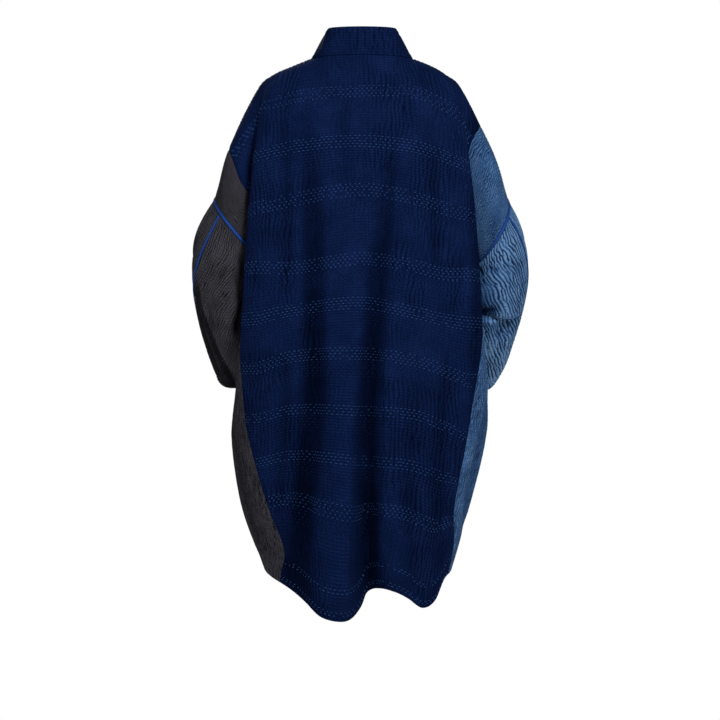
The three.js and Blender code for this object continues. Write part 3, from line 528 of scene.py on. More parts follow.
# ------------------------------------------------------------------------------- the quilted cloth
# Two layers of cotton held together by rows of hand running stitch. The stitches draw the cloth in,
# so it puckers across the rows, and a sewn edge turns down into its seam.
WALL = 2.2  # how thick the two layers are together
SEAM_GAP = 0.14  # how much stays open between two pieces that are sewn to each other
ROW_PITCH = 4.9  # from one row of stitches to the next
STITCH_PITCH = 8.1  # from one stitch to the next in its row
WEAVE = 1.1  # from thread to thread: the real ones are 0.4 mm apart, and would not show
SEAM_ROLL = (1.1, 2.6)  # how deep an edge rolls into its seam, and how far in the roll reaches
SEAM_HOLDS = 12  # how far from a seam its stitches still keep a crease shallow
SHARP_FOLD = math.radians(58)
INNER_SHARE = 3  # the plain inner face has one column and row for each three of the outer one
PAINTED_CREASE_SHADE = 0.05  # painted shade in a crease, for each mm that it is deep
BLOTCHES_PER_M, SLUBS_PER_M = 22, (90, 620, 1)  # uneven fading, and slubs along the threads
ROW_LINE = (0.4, 1.3)  # how far from its middle a row's groove is full, and where it ends
DASH_GAP = (0.8, 1.6)  # how far from its middle the gap between stitches ends, and they are full
ROW_SHIFT = 0.83  # how far along the stitches move from row to row, as a share of the distance
SLUB_HEIGHT, LUMP_HEIGHT, ROW_DEPTH = 3.0, 3.0, 2.2  # each beside a thread's height of 1
THREAD_HEIGHT = 0.28


def wander(u, v, size_u, size_v, seed):
    """Smooth noise over the cloth, about -1 to 1, with lumps of the given sizes."""
    a, b = u / size_u, v / size_v
    low_a, low_b = int(np.floor(a.min())), int(np.floor(b.min()))
    lattice = np.random.default_rng(seed).uniform(
        -1, 1, (int(np.ceil(b.max())) - low_b + 2, int(np.ceil(a.max())) - low_a + 2)
    )
    a, b = a - low_a, b - low_b
    i, j = np.floor(a).astype(int), np.floor(b).astype(int)
    p, q = a - i, b - j
    p, q = p * p * (3 - 2 * p), q * q * (3 - 2 * q)
    top = mix(lattice[j, i], lattice[j, i + 1], p)
    return mix(top, mix(lattice[j + 1, i], lattice[j + 1, i + 1], p), q)


def crinkle(u, v, apart, along, seed):
    """Puckers that run down the cloth, wander and fork: 0 in a groove and 1 on a ridge."""
    size = 1.5 * apart, along
    turn = np.arctan2(wander(u, v, *size, seed), wander(u, v, *size, seed + 1))  # makes the forks
    drift = 0.45 * apart * wander(u, v, 4 * apart, 1.5 * along, seed + 2)  # makes them wander
    return np.abs(np.cos(np.pi * (u + drift) / apart + turn / 2))


def patches(u, v, sizes, least, turn, seed):
    """How hard the stitches draw the cloth in: least in some patches and 1 in others."""
    return least + (1 - least) * ramp(*turn, wander(u, v, *sizes, seed))


def worn_and_shaded(crest, fall, held, grooves, sunk=0):
    """How worn the cloth is, with its painted shade: crest at the top of a pucker, up to fall less in a
    groove, partly for wear and partly as painted shade, and less in a crease, as painted shade.
    """
    return crest - fall * held * grooves**2 - PAINTED_CREASE_SHADE * np.maximum(sunk, 0)


def creases(rows, u, v):
    """Soft troughs, or ridges where the depth is below 0, each along a slightly bowed line. A row
    gives the line's two ends by u and v, how far its middle bows out, its depth and half width."""
    sunk = np.zeros(u.shape)
    for u0, v0, u1, v1, bow, depth, half in rows:
        length = math.hypot(u1 - u0, v1 - v0)
        du, dv = (u1 - u0) / length, (v1 - v0) / length
        t = ((u - u0) * du + (v - v0) * dv) / length
        off = (u - u0) * dv - (v - v0) * du - bow * 4 * t * (1 - t)
        taper = ramp(-0.12, 0.3, t) * (1 - ramp(0.7, 1.12, t))
        sunk += depth * taper * np.exp(-((off / half) ** 2))
    return sunk


def edge_distances(points):
    """How far each place is from the first and last ones of its row, and of its column."""
    edges = (points[:, :1], points[:, -1:], points[:1], points[-1:])
    return [np.linalg.norm(points - edge, axis=-1) for edge in edges]


def creased(points, normals, sunk):
    """The grid pressed in by sunk, except along its seams."""
    free = np.prod([ramp(0, SEAM_HOLDS, distance) for distance in edge_distances(points)], axis=0)
    return points - normals * (sunk * free)[..., None]


def cloth_lengths(points):
    """How far each place is along its row, in mm of cloth, from the row's first place."""
    steps = np.linalg.norm(np.diff(points, axis=1), axis=-1)
    return np.concatenate([np.zeros((len(points), 1)), np.cumsum(steps, axis=1)], axis=1)


def quilt(name, points, normals, u, v, rise, wear_and_shade, material, rims=(1, 1, 1, 1), wall=WALL):
    """A closed wall of cloth on a grid of points, and the points of its outer face. rise lifts that
    face, and the tone after it says how worn the face is and how much shade is painted on it, from 0,
    darkest, in a groove or under painted shade, to 1 on a worn crest. rims says how far its first and
    last columns and rows roll into a seam."""
    rows, columns = points.shape[:2]
    roll = np.zeros((rows, columns))
    fade = np.ones((rows, columns))
    for distance, rim in zip(edge_distances(points), rims):
        roll = np.maximum(roll, rim * SEAM_ROLL[0] * np.exp(-((distance / SEAM_ROLL[1]) ** 2)))
        fade *= ramp(-1, 4, distance)
    outer = points + normals * (wall / 2 + rise * fade - roll)[..., None]
    inner = (points - normals * wall / 2)[::INNER_SHARE, ::INNER_SHARE]
    vertices = np.concatenate([outer.reshape(-1, 3), inner.reshape(-1, 3)]) * MM
    index = np.arange(rows * columns).reshape(rows, columns)
    inside = index.size + np.arange(inner.shape[0] * inner.shape[1]).reshape(inner.shape[:2])
    a, b, c, d = index[:-1, :-1], index[:-1, 1:], index[1:, 1:], index[1:, :-1]
    faces = np.stack([a, b, c, d], -1).reshape(-1, 4).tolist()
    a, b, c, d = inside[:-1, :-1], inside[:-1, 1:], inside[1:, 1:], inside[1:, :-1]
    faces += np.stack([a, d, c, b], -1).reshape(-1, 4).tolist()
    for fine, coarse in ((index[0], inside[0]), (index[:, -1], inside[:, -1]),
                         (index[-1, ::-1], inside[-1, ::-1]), (index[::-1, 0], inside[::-1, 0])):
        for k in range(len(coarse) - 1):
            edge = fine[k * INNER_SHARE : (k + 1) * INNER_SHARE + 1]
            faces.append([int(coarse[k]), int(coarse[k + 1]), *map(int, edge[::-1])])
    out = np.cross(points[0, 1] - points[0, 0], points[1, 0] - points[0, 0])
    if (out * normals[0, 0]).sum() < 0:
        faces = [face[::-1] for face in faces]
    piece = mesh_object(name, vertices, faces, material)
    mesh = piece.data
    mesh.set_sharp_from_angle(angle=SHARP_FOLD)
    place = np.stack([u, v], -1) * MM
    place = np.concatenate([
        place.reshape(-1, 2), place[::INNER_SHARE, ::INNER_SHARE].reshape(-1, 2)
    ]).astype(np.float32)
    corner = np.empty(len(mesh.loops), np.int32)
    mesh.loops.foreach_get("vertex_index", corner)
    mesh.uv_layers.new(name="cloth").data.foreach_set("uv", place[corner].ravel())
    wear_and_painted_light = np.concatenate([wear_and_shade.ravel(), np.full(inner.shape[0] * inner.shape[1], 0.5)])
    mesh.attributes.new("wear_and_shade", "FLOAT", "POINT").data.foreach_set("value", wear_and_painted_light.astype(np.float32))
    return piece, outer


def quilted_cotton(name, tones, thread, thread_share, grain_mm, grain, slub, gloss):
    """Washed, hand-quilted plain cotton: matt, paler on its worn crests and darker in its grooves,
    partly for wear and partly as painted light and shade, with more painted shade where its tone
    attribute is low, slubbed along its threads, with rows of stitches in its own colour. tones are
    those of a groove, which also serves as painted shade, the cloth and a worn crest."""
    material = bpy.data.materials.new(name)
    material.use_nodes = True
    tree = material.node_tree
    shader = tree.nodes["Principled BSDF"]
    place = add(tree, "ShaderNodeUVMap", uv_map="cloth").outputs["UV"]
    split = add(tree, "ShaderNodeSeparateXYZ", {0: place})
    wear_and_shade = add(tree, "ShaderNodeAttribute", attribute_name="wear_and_shade").outputs["Fac"]
    slub_place = add(tree, "ShaderNodeMapping", {"Vector": place, "Scale": SLUBS_PER_M}).outputs[0]
    noises = ((place, BLOTCHES_PER_M, 3), (slub_place, 1, 2), (place, 1000 / grain_mm, 2))
    blotch, streak, lumps = (
        add(tree, "ShaderNodeTexNoise", {"Vector": at, "Scale": scale, "Detail": detail}).outputs[0]
        for at, scale, detail in noises
    )
    wear = maths(tree, "MULTIPLY_ADD", maths(tree, "ADD", blotch, streak), slub, -slub)
    grainy = maths(tree, "MULTIPLY_ADD", lumps, grain, -grain / 2)
    shade = maths(tree, "ADD", wear_and_shade, maths(tree, "ADD", wear, grainy), clamp=True)
    dyed = add(tree, "ShaderNodeValToRGB", {"Fac": shade})
    groove, cloth, wear_and_painted_light = (linear(tone) for tone in tones)
    dyed.color_ramp.elements[0].color = groove
    dyed.color_ramp.elements[1].color = wear_and_painted_light
    dyed.color_ramp.elements.new(0.5).color = cloth
    # The rows of stitches in the cloth's own colour: a thin line at each row, broken into dashes.
    across, down = split.outputs["X"], split.outputs["Y"]
    row = maths(tree, "PINGPONG", down, ROW_PITCH * MM / 2)
    on_row = add(tree, "ShaderNodeMapRange", {
        "Value": row, "From Min": ROW_LINE[0] * MM, "From Max": ROW_LINE[1] * MM,
        "To Min": 1, "To Max": 0,
    }).outputs[0]
    shifted = maths(tree, "MULTIPLY_ADD", maths(tree, "SNAP", down, ROW_PITCH * MM), ROW_SHIFT, across)
    dash = maths(tree, "PINGPONG", shifted, STITCH_PITCH * MM / 2)
    on_dash = add(tree, "ShaderNodeMapRange", {
        "Value": dash, "From Min": DASH_GAP[0] * MM, "From Max": DASH_GAP[1] * MM,
    }).outputs[0]
    amount = maths(tree, "MULTIPLY", maths(tree, "MULTIPLY", on_row, on_dash), thread_share)
    tones = {"Factor": amount, "A": dyed.outputs[0], "B": linear(thread)}
    sewn = add(tree, "ShaderNodeMix", tones, data_type="RGBA")
    tree.links.new(sewn.outputs["Result"], shader.inputs["Base Color"])
    # The relief: the weave, its slubs and lumps, and the groove at each row.
    turns = 2 * math.pi / (WEAVE * MM)
    weave = maths(tree, "MULTIPLY", *(
        maths(tree, "SINE", maths(tree, "MULTIPLY", way, turns)) for way in (across, down)
    ))
    height = maths(tree, "MULTIPLY_ADD", streak, SLUB_HEIGHT, weave)
    height = maths(tree, "MULTIPLY_ADD", lumps, LUMP_HEIGHT, height)
    height = maths(tree, "MULTIPLY_ADD", on_row, -ROW_DEPTH, height)
    relief = {"Strength": 0.6, "Distance": THREAD_HEIGHT * MM, "Height": height}
    tree.links.new(add(tree, "ShaderNodeBump", relief).outputs[0], shader.inputs["Normal"])
    dull = add(tree, "ShaderNodeMapRange", {"Value": shade, "To Min": 0.98, "To Max": 0.88}).outputs[0]
    tree.links.new(dull, shader.inputs["Roughness"])
    shader.inputs["IOR"].default_value = 1.45
    shader.inputs["Specular IOR Level"].default_value = gloss
    shader.inputs["Sheen Weight"].default_value = 0.1
    shader.inputs["Sheen Roughness"].default_value = 0.5
    shader.inputs["Sheen Tint"].default_value = wear_and_painted_light
    return material


def drawn_in(points):
    """The grid with its outermost places drawn in by half the seam gap."""
    drawn = points.copy()
    for edge, beside in ((0, 1), (-1, -2)):
        drawn[:, edge] += unit(points[:, beside] - points[:, edge]) * SEAM_GAP / 2
        drawn[edge] += unit(points[beside] - points[edge]) * SEAM_GAP / 2
    return drawn


# ------------------------------------------------------------------------------- the stitches
# Running stitch in soft cotton thread. Each stitch that shows is a short, plump dash lying on the
# cloth, and the next row is set off by about half a stitch.
def running_stitch_tree():
    """Puts a dash of thread at each point, along its run and standing out from the cloth."""
    tree = bpy.data.node_groups.new("running_stitch", "GeometryNodeTree")
    sockets = {}
    wanted = (
        ("Stitch Length", "NodeSocketFloat"), ("Thread Thickness", "NodeSocketFloat"),
        ("Unevenness", "NodeSocketFloat"), ("Seed", "NodeSocketInt"), ("Thread", "NodeSocketMaterial"),
    )
    tree.interface.new_socket("Places", in_out="INPUT", socket_type="NodeSocketGeometry")
    for label, kind in wanted:
        sockets[label] = tree.interface.new_socket(label, in_out="INPUT", socket_type=kind).identifier
    tree.interface.new_socket("Stitches", in_out="OUTPUT", socket_type="NodeSocketGeometry")
    given = add(tree, "NodeGroupInput").outputs
    run, out = (
        add(
            tree, "GeometryNodeInputNamedAttribute", {"Name": name}, data_type="FLOAT_VECTOR"
        ).outputs[0]
        for name in ("run", "out")
    )
    dash = add(tree, "GeometryNodeMeshUVSphere", {"Segments": 4, "Rings": 3, "Radius": 1.0})
    lying = add(tree, "FunctionNodeAlignRotationToVector", {"Vector": run}, axis="Z").outputs[0]
    turned = add(
        tree, "FunctionNodeAlignRotationToVector", {"Rotation": lying, "Vector": out},
        axis="X", pivot_axis="Z",
    ).outputs[0]
    least = maths(tree, "SUBTRACT", 1.0, given["Unevenness"])
    shrunk = add(
        tree, "FunctionNodeRandomValue", {2: least, 3: 1.0, "Seed": given["Seed"]}, data_type="FLOAT"
    ).outputs[1]
    long = maths(tree, "MULTIPLY", maths(tree, "MULTIPLY", given["Stitch Length"], 0.5), shrunk)
    half_thick = maths(tree, "MULTIPLY", given["Thread Thickness"], 0.5)
    size = add(tree, "ShaderNodeCombineXYZ", {0: half_thick, 1: half_thick, 2: long}).outputs[0]
    placed = add(tree, "GeometryNodeInstanceOnPoints", {
        "Points": given["Places"], "Instance": dash.outputs["Mesh"], "Rotation": turned, "Scale": size,
    })
    real = add(tree, "GeometryNodeRealizeInstances", {0: placed.outputs[0]}).outputs[0]
    dressed = add(tree, "GeometryNodeSetMaterial", {"Geometry": real, "Material": given["Thread"]})
    add(tree, "NodeGroupOutput", {0: dressed.outputs[0]})
    return tree, sockets


running_stitch, stitch_sockets = running_stitch_tree()
MISSED = 0.06  # the share of stitches in a row that sink out of sight
SEAM_MARGIN = 4  # how far from a seam the first stitch keeps
JITTER, TILT = 0.35, 0.07  # how far stitches stray along their row, and how far they turn from it
PATCH = 30  # how long the stretches are in which a sparse row shows, or doesn't
FULL_BAND = 0.9  # a band that shows this much has no such stretches
HALF_RUN, STANDS_UP = 0.42, 0.22  # shares of a stitch's length, and of its thickness


def band_rows(bands, dim=False):
    """The level of each bright row of some bands, or of each dim row below them, and how much of
    the row shows."""
    rows = []
    for middle, bright, faint, shown in bands:
        counted = range(bright, bright + faint) if dim else range(bright)
        rows += [(middle + ROW_PITCH * (k - (bright - 1) / 2), shown) for k in counted]
    return rows


def on_line(place, across, field):
    """A field's value at some places along a line."""
    return np.stack([np.interp(place, across, field[:, axis]) for axis in range(3)], -1)


def stitch_rows(name, face, normals, u, v, rows, stitch, seed):
    """Dashes along rows of cloth at constant v, on the outer face of a quilted piece. stitch is a
    stitch's thread, length and thickness."""
    rng = np.random.default_rng(seed)
    thread, length, thickness = stitch
    places, runs, outs = [], [], []
    for number, (level, shown) in enumerate(rows):
        line, out, across = [], [], []
        for j in range(face.shape[1]):
            line.append([np.interp(level, v[:, j], face[:, j, axis]) for axis in range(3)])
            out.append([np.interp(level, v[:, j], normals[:, j, axis]) for axis in range(3)])
            across.append(np.interp(level, v[:, j], u[:, j]))
        line, out, across = np.array(line), np.array(out), np.array(across)
        first, last = across.min() + SEAM_MARGIN, across.max() - SEAM_MARGIN
        counted = np.arange(math.floor(first / STITCH_PITCH), math.ceil(last / STITCH_PITCH) + 1)
        middles = counted * STITCH_PITCH + round(level / ROW_PITCH) % 2 * STITCH_PITCH * 0.5
        middles = middles + rng.normal(0, JITTER, len(middles))
        patch = 0.5 + 0.9 * wander(middles, 0 * middles, PATCH, 1, seed + number)
        shows = shown + (1 - shown) * 0.8 * patch * (shown < FULL_BAND) - MISSED
        shows = np.clip(shows, 0, 1) * np.minimum(shown * 1.4, 1)
        keep = (middles > first) & (middles < last) & (rng.random(len(middles)) < shows)
        middles = middles[keep]
        reach = length * HALF_RUN
        ends = on_line(middles - reach, across, line), on_line(middles + reach, across, line)
        tilt = rng.normal(0, TILT, (len(middles), 1))
        normal = unit(on_line(middles, across, out))
        run = unit(ends[1] - ends[0])
        runs.append(unit(run + np.cross(normal, run) * tilt))
        outs.append(normal)
        chord, middle = (ends[0] + ends[1]) / 2, on_line(middles, across, line)
        places.append(chord * 0.5 + middle * 0.5 + normal * thickness * STANDS_UP)
    places, runs, outs = np.concatenate(places), np.concatenate(runs), np.concatenate(outs)
    source = mesh_object(name + "_places", places * MM, [], smooth=False)
    for label, field in (("run", runs), ("out", outs)):
        held = source.data.attributes.new(label, "FLOAT_VECTOR", "POINT")
        held.data.foreach_set("vector", field.astype(np.float32).ravel())
    modifier = source.modifiers.new("running stitch", "NODES")
    modifier.node_group = running_stitch
    given = {
        "Stitch Length": length * MM, "Thread Thickness": thickness * MM, "Unevenness": 0.35,
        "Seed": seed, "Thread": thread,
    }
    for label, value in given.items():
        modifier[stitch_sockets[label]] = value
    ready = source.evaluated_get(bpy.context.evaluated_depsgraph_get())
    mesh = bpy.data.meshes.new_from_object(ready)
    bpy.data.objects.remove(source)
    mesh.name = name
    mesh.shade_smooth()
    piece = bpy.data.objects.new(name, mesh)
    scene.collection.objects.link(piece)
    return piece


def cotton_thread(name, colour, lit):
    """Soft-spun cotton thread: matt, with a slight twist that breaks its light along its length."""
    material = bpy.data.materials.new(name)
    material.use_nodes = True
    tree = material.node_tree
    shader = tree.nodes["Principled BSDF"]
    place = add(tree, "ShaderNodeTexCoord").outputs["Object"]
    fleck = add(tree, "ShaderNodeTexNoise", {"Vector": place, "Scale": 260, "Detail": 2}).outputs[0]
    tones = {"Factor": fleck, "A": linear(colour), "B": linear(lit)}
    spun = add(tree, "ShaderNodeMix", tones, data_type="RGBA")
    tree.links.new(spun.outputs["Result"], shader.inputs["Base Color"])
    shader.inputs["Roughness"].default_value = 0.85
    shader.inputs["Specular IOR Level"].default_value = 0.08
    return material


# Each stitch's thread, its length and its thickness.
BRIGHT_STITCH = cotton_thread("pale_blue_cotton_thread", "1b3464", "3b5d92"), 4.4, 1.15
DIM_STITCH = cotton_thread("faded_navy_cotton_thread", "0d1d48", "182d5c"), 4.2, 0.9
SIDE_STITCH = {
    "left": (cotton_thread("grey_blue_cotton_thread", "3a4560", "66758f"), 2.9, 0.6),
    "right": (cotton_thread("mid_blue_cotton_thread", "3c648f", "6088b4"), 2.9, 0.6),
}
# The bands of stitches: the level of a band's middle, its bright rows, the dim ones below them, and
# the share of each row that shows.
BACK_BANDS = (
    (73, 5, 5, 0.75), (164, 5, 6, 0.95), (250, 5, 5, 0.9), (367, 5, 6, 0.95), (443, 5, 5, 0.9),
    (530, 5, 6, 0.95), (627, 4, 6, 0.9), (706, 4, 5, 0.85), (784, 5, 5, 0.95), (887, 2, 0, 0.7),
    (919, 2, 0, 0.9),
)
SIDE_BANDS = {
    "left": (
        (190, 3, 0, 0.2), (470, 3, 0, 0.25), (590, 4, 0, 0.35), (705, 4, 0, 0.45), (812, 4, 0, 0.45),
    ),
    "right": (
        (150, 2, 0, 0.2), (430, 3, 0, 0.35), (540, 3, 0, 0.35), (650, 3, 0, 0.35), (770, 3, 0, 0.35),
    ),
}
SLEEVE_BANDS = {
    "left": ((70, 3, 0, 0.2), (150, 3, 0, 0.25), (235, 3, 0, 0.25)),
    "right": ((60, 2, 0, 0.15), (150, 3, 0, 0.15), (240, 3, 0, 0.2)),
}


# ------------------------------------------------------------------------------- the back
# The wide middle strip, of navy quilted cotton. It runs from the hem up over both shoulders to a
# seam just in front of them. The pale blue stitches lie in bands, with plain rows between them.
SHOULDER_SEAM = 12  # how far in front of the shoulder line the seam lies
SEAM_TURN = 0.06  # how far across from the neck it takes to get there
BACK_COLUMNS, BACK_ROWS = 420, 198
BACK_SEED, BACK_STITCH_SEED, DIM_STITCH_SEED = 11, 31, 32
# Where the seams to the side strips lie, as places across.
STRIP_SEAM = table(
    "drop leftBack rightBack leftFront rightFront",
    (0, 0.87, 0.8, 0.87, 0.8),
    (75, 0.8, 0.725, 0.79, 0.73),
    (155, 0.775, 0.665, 0.72, 0.67),
    (235, 0.632, 0.625, 0.65, 0.63),
    (310, 0.62, 0.61, 0.62, 0.61),
    (450, 0.59, 0.58, 0.6, 0.6),
    (595, 0.505, 0.465, 0.58, 0.58),
    (675, 0.445, 0.43, 0.57, 0.57),
    (800, 0.375, 0.435, 0.56, 0.56),
    (865, 0.35, 0.5, 0.56, 0.56),
    (930, 0.44, 0.545, 0.56, 0.56),
)
# How the rows of stitches sag: the drop of each band's middle at some places across the back, and
# its level, which is its drop at the centre. Between the bands the cloth's rows sag in step.
SAG_PLACES = (-180, -140, -90, 0, 120, 180)
ROW_SAG = (
    (0, (0, 0, 0, 0, 0, 0)),
    (73, (110, 88, 71, 73, 78, 84)),
    (164, (188, 179, 170, 164, 166, 170)),
    (250, (276, 272, 261, 250, 261, 265)),
    (367, (382, 387, 377, 367, 379, 369)),
    (443, (475, 470, 459, 443, 454, 466)),
    (530, (577, 559, 542, 530, 535, 556)),
    (627, (672, 652, 633, 627, 625, 641)),
    (706, (752, 736, 716, 706, 700, 716)),
    (784, (830, 815, 793, 784, 768, 786)),
    (930, (930, 930, 930, 930, 930, 930)),
)
# the tones of a groove, the cloth and a worn crest; the groove's tone also serves as painted shade
NAVY_TONES = ("010617", "081637", "152856")
NAVY_PUCKERS = (7.4, 17)  # how far apart and how long
NAVY_DEPTH, NAVY_PATCHES = 1.3, (34, 60)
navy = quilted_cotton(
    "indigo_navy_quilted_cotton", NAVY_TONES, "040a22",
    thread_share=0.6, grain_mm=2.4, grain=0.35, slub=0.5, gloss=0.02,
)


def row_level(x, drop):
    """The level of the row of stitches at each place of a middle strip."""
    heights = [follow(tuple(zip(SAG_PLACES, drops)), x) for _, drops in ROW_SAG]
    level = np.minimum(drop, 0)
    for (above, _), (below, _), top, foot in zip(ROW_SAG, ROW_SAG[1:], heights, heights[1:]):
        level = level + (below - above) * np.clip((drop - top) / (foot - top), 0, 1)
    return level


# Creases too sharp for the hanging folds: a row gives a crease's two ends by the place across and
# the depth below the neck, how far its middle bows, its depth and its half width.
BACK_CREASES = (
    (94, 110, 83, 620, 0, 5, 12), (81, 540, 117, 915, 0, 6, 13), (67, 130, 56, 640, 0, -3, 9),
    (54, 560, 87, 905, 0, -4, 9), (-56, 130, -14, 520, 0, 3.5, 12), (-16, 440, -4, 915, 0, 4, 11),
    (-86, 180, -46, 520, 0, -3, 10), (-46, 460, -36, 900, 0, -3.5, 9), (14, 480, 26, 900, 0, -3, 9),
    (-120, 110, -132, 420, 4, 3, 10), (138, 90, 128, 400, -4, 3.5, 11),
    (-150, 500, -128, 880, 5, 4, 13), (30, 60, 24, 260, 3, 1.5, 10), (128, 480, 150, 880, -3, 4, 13),
    (-88, 560, -84, 880, 3, 3, 12),
)
SMOOTH_PANEL = (30, 42, 0.6)  # the panel that puckers least: middle, half width, how much less
PAINTED_FOLD_SHADE, FOLD_DEPTHS = 0.22, (1, 26)  # painted shade in the hanging folds, growing between these depths of fold
BACK_PAINTED_CREASE_SHADE = 0.055  # painted shade in the creases, for each mm that one is deep
PAINTED_SLEEVE_SHADOW, SLEEVE_EDGE = 0.3, (178, 198)  # a painted shadow where the right sleeve covers the back's edge
# painted shade towards the hem, from this drop down
PAINTED_HEM_SHADE, HEM_START = 0.1, 840


def navy_quilting(u, v, seed, calm=0, sunk=0):
    """How far the navy cloth's puckers stand up, and their tone: paler on the crests and darker in the
    grooves, partly for wear and partly as painted shade, with painted shade in the creases. calm takes
    some away.
    """
    grooves = 1 - crinkle(u, v, *NAVY_PUCKERS, seed)
    held = (1 - calm) * patches(u, v, NAVY_PATCHES, 0.25, (-0.4, 0.5), seed + 5)
    return -NAVY_DEPTH * held * grooves, worn_and_shaded(0.6, 0.6, held, grooves, sunk)


def strip_seam(column, drop):
    """Where a seam of the middle strip lies, as a place across."""
    found = through(STRIP_SEAM["drop"], STRIP_SEAM[column][:, None, None], np.ravel(drop))
    return found[:, 0].reshape(np.shape(drop))


def row_drop(face, t, size):
    """The drop at a share t of the way down a strip, which starts at the shoulder seam."""
    forward = SHOULDER_SEAM * ramp(ACROSS["neck"], ACROSS["neck"] + SEAM_TURN, size)
    return mix(-forward if face == "back" else forward, HEM, t)


def strip_grid(face, columns, across_at):
    """Points, normals, places across and drops of a strip. across_at gives the place across at a
    share of the strip's width."""
    s, t = np.meshgrid(np.linspace(0, 1, columns + 1), np.linspace(0, 1, BACK_ROWS + 1))
    across = across_at(s, np.maximum(row_drop(face, t, 1), 0))
    drop = row_drop(face, t, np.abs(across))
    across = across_at(s, np.maximum(drop, 0))
    points = body_point(face, across.ravel(), drop.ravel()).reshape(*s.shape, 3)
    normals = body_normal(face, across.ravel(), drop.ravel()).reshape(*s.shape, 3)
    return points, normals, across, drop


def back_across(s, drop):
    """Even steps across each of the three stretches: seam to neck, neck to neck, neck to seam."""
    k = 2 * s - 1
    inner = 7 / 19  # the share of the columns that lie behind the neck
    seam = np.where(k < 0, strip_seam("rightBack", drop), strip_seam("leftBack", drop))
    outside = mix(ACROSS["neck"], seam, np.clip((np.abs(k) - inner) / (1 - inner), 0, 1))
    return np.sign(k) * np.where(np.abs(k) <= inner, ACROSS["neck"] * np.abs(k) / inner, outside)


points, normals, across, drop = strip_grid("back", BACK_COLUMNS, back_across)
u = cloth_lengths(points)
u -= u[:, BACK_COLUMNS // 2 : BACK_COLUMNS // 2 + 1]
level = row_level(points[..., 0], drop)
x, below = points[..., 0], -points[..., 2]
middle, half, less = SMOOTH_PANEL
rise, wear_and_shade = navy_quilting(u, level, BACK_SEED, less * np.exp(-(((u - middle) / half) ** 4)))
sunk = creases(BACK_CREASES, x, below)
pressed = fold_press(BACK_FOLDS, x.ravel(), below.ravel()).reshape(u.shape)
# painted shade in the folds and creases, a painted shadow where the right sleeve covers the back's
# edge, and painted shade towards the hem
wear_and_shade -= PAINTED_FOLD_SHADE * ramp(*FOLD_DEPTHS, pressed) + BACK_PAINTED_CREASE_SHADE * np.maximum(sunk, 0)
wear_and_shade -= PAINTED_SLEEVE_SHADOW * ramp(*SLEEVE_EDGE, -x) + PAINTED_HEM_SHADE * ramp(HEM_START, HEM, drop)
points = creased(points, normals, sunk)
back, back_face = quilt("back_cloth", drawn_in(points), normals, u, level, rise, wear_and_shade, navy)
back_stitches = stitch_rows(
    "back_stitches", back_face, normals, u, level, band_rows(BACK_BANDS), BRIGHT_STITCH,
    BACK_STITCH_SEED
)
back_dim_stitches = stitch_rows(
    "back_dim_stitches", back_face, normals, u, level, band_rows(BACK_BANDS, dim=True), DIM_STITCH,
    DIM_STITCH_SEED
)
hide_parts("back")
for piece in (back, back_stitches, back_dim_stitches):
    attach(piece, "root")


# ------------------------------------------------------------------------------- the fronts
# Two narrow navy strips from the shoulder seam to the hem, one on each side of the collar band, in
# the same quilted cotton and with the same bands of stitches as the back.
FRONT_COLUMNS = 90
FRONT_SEED = 40
FRONT_CREASES = {  # as on the back, by the distance from the collar band and the drop
    "left": (
        (34, 90, 70, 480, 5, 4.5, 12), (104, 210, 88, 640, -4, 4, 13), (62, 520, 50, 915, 3, 4, 12),
        (120, 430, 128, 900, 0, -3, 10), (20, 60, 26, 300, 2, 2.5, 9), (90, 680, 100, 915, 2, 3.5, 11),
    ),
    "right": (
        (40, 70, 60, 420, 4, 4, 12), (96, 180, 104, 560, -3, 4.5, 12), (48, 470, 66, 900, -4, 4.5, 13),
        (118, 480, 112, 880, 0, -3, 10), (22, 240, 18, 520, 2, 2.5, 9), (84, 620, 80, 915, 3, 3.5, 11),
    ),
}
for name, side in SIDES.items():
    points, normals, across, drop = strip_grid(
        "front", FRONT_COLUMNS,
        lambda s, d: side["sign"] * mix(ACROSS["neck"], strip_seam(f"{name}Front", d), s),
    )
    u = cloth_lengths(points)
    seed = FRONT_SEED + side["sign"]
    sunk = creases(FRONT_CREASES[name], u, drop)
    rise, wear_and_shade = navy_quilting(u, drop, seed, sunk=sunk)
    points = creased(points, normals, sunk)
    front, face = quilt(f"front_{name}_cloth", drawn_in(points), normals, u, drop, rise, wear_and_shade, navy)
    sewing = stitch_rows(
        f"front_{name}_stitches", face, normals, u, drop, band_rows(BACK_BANDS), BRIGHT_STITCH, seed
    )
    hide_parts(f"front_{name}")
    for piece in (front, sewing):
        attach(piece, "root")


# ------------------------------------------------------------------------------- the side strips
# One strip on each side runs from the back hem, up over the arm and down to the front hem, sewn to
# the middle strip on one edge. Its other edge holds the armhole, and is the side seam below that.
SIDE_COLUMNS = 108
SIDE_SEED = 60
SIDE_PATCHES = (30, 45)
SIDE_WEAR_AND_SHADE = (0.6, 0.85)  # how worn the crests are, and how much darker the grooves, partly for wear and partly as painted shade
MITRE_START = 0.93  # the place across where the cloth begins to turn towards the armhole's mitre
# the tones of a groove, the cloth and a worn crest; the groove's tone also serves as painted shade
CHARCOAL_TONES = ("111115", "2f2e34", "4e4c53")
DENIM_TONES = ("041431", "294973", "7fa8d0")
charcoal = quilted_cotton(
    "charcoal_quilted_cotton", CHARCOAL_TONES, "131317",
    thread_share=0.3, grain_mm=2.2, grain=0.5, slub=0.4, gloss=0.06,
)
denim = quilted_cotton(
    "denim_blue_quilted_cotton", DENIM_TONES, "16305a",
    thread_share=0.2, grain_mm=2.2, grain=0.3, slub=0.3, gloss=0.1,
)
SIDE_CLOTH = {  # cloth, slot, then how far apart, long and deep the side strip's grooves are
    "left": (charcoal, "charcoal", 4.2, 8, 1.1),
    "right": (denim, "denim", 4.6, 8, 1.5),
}

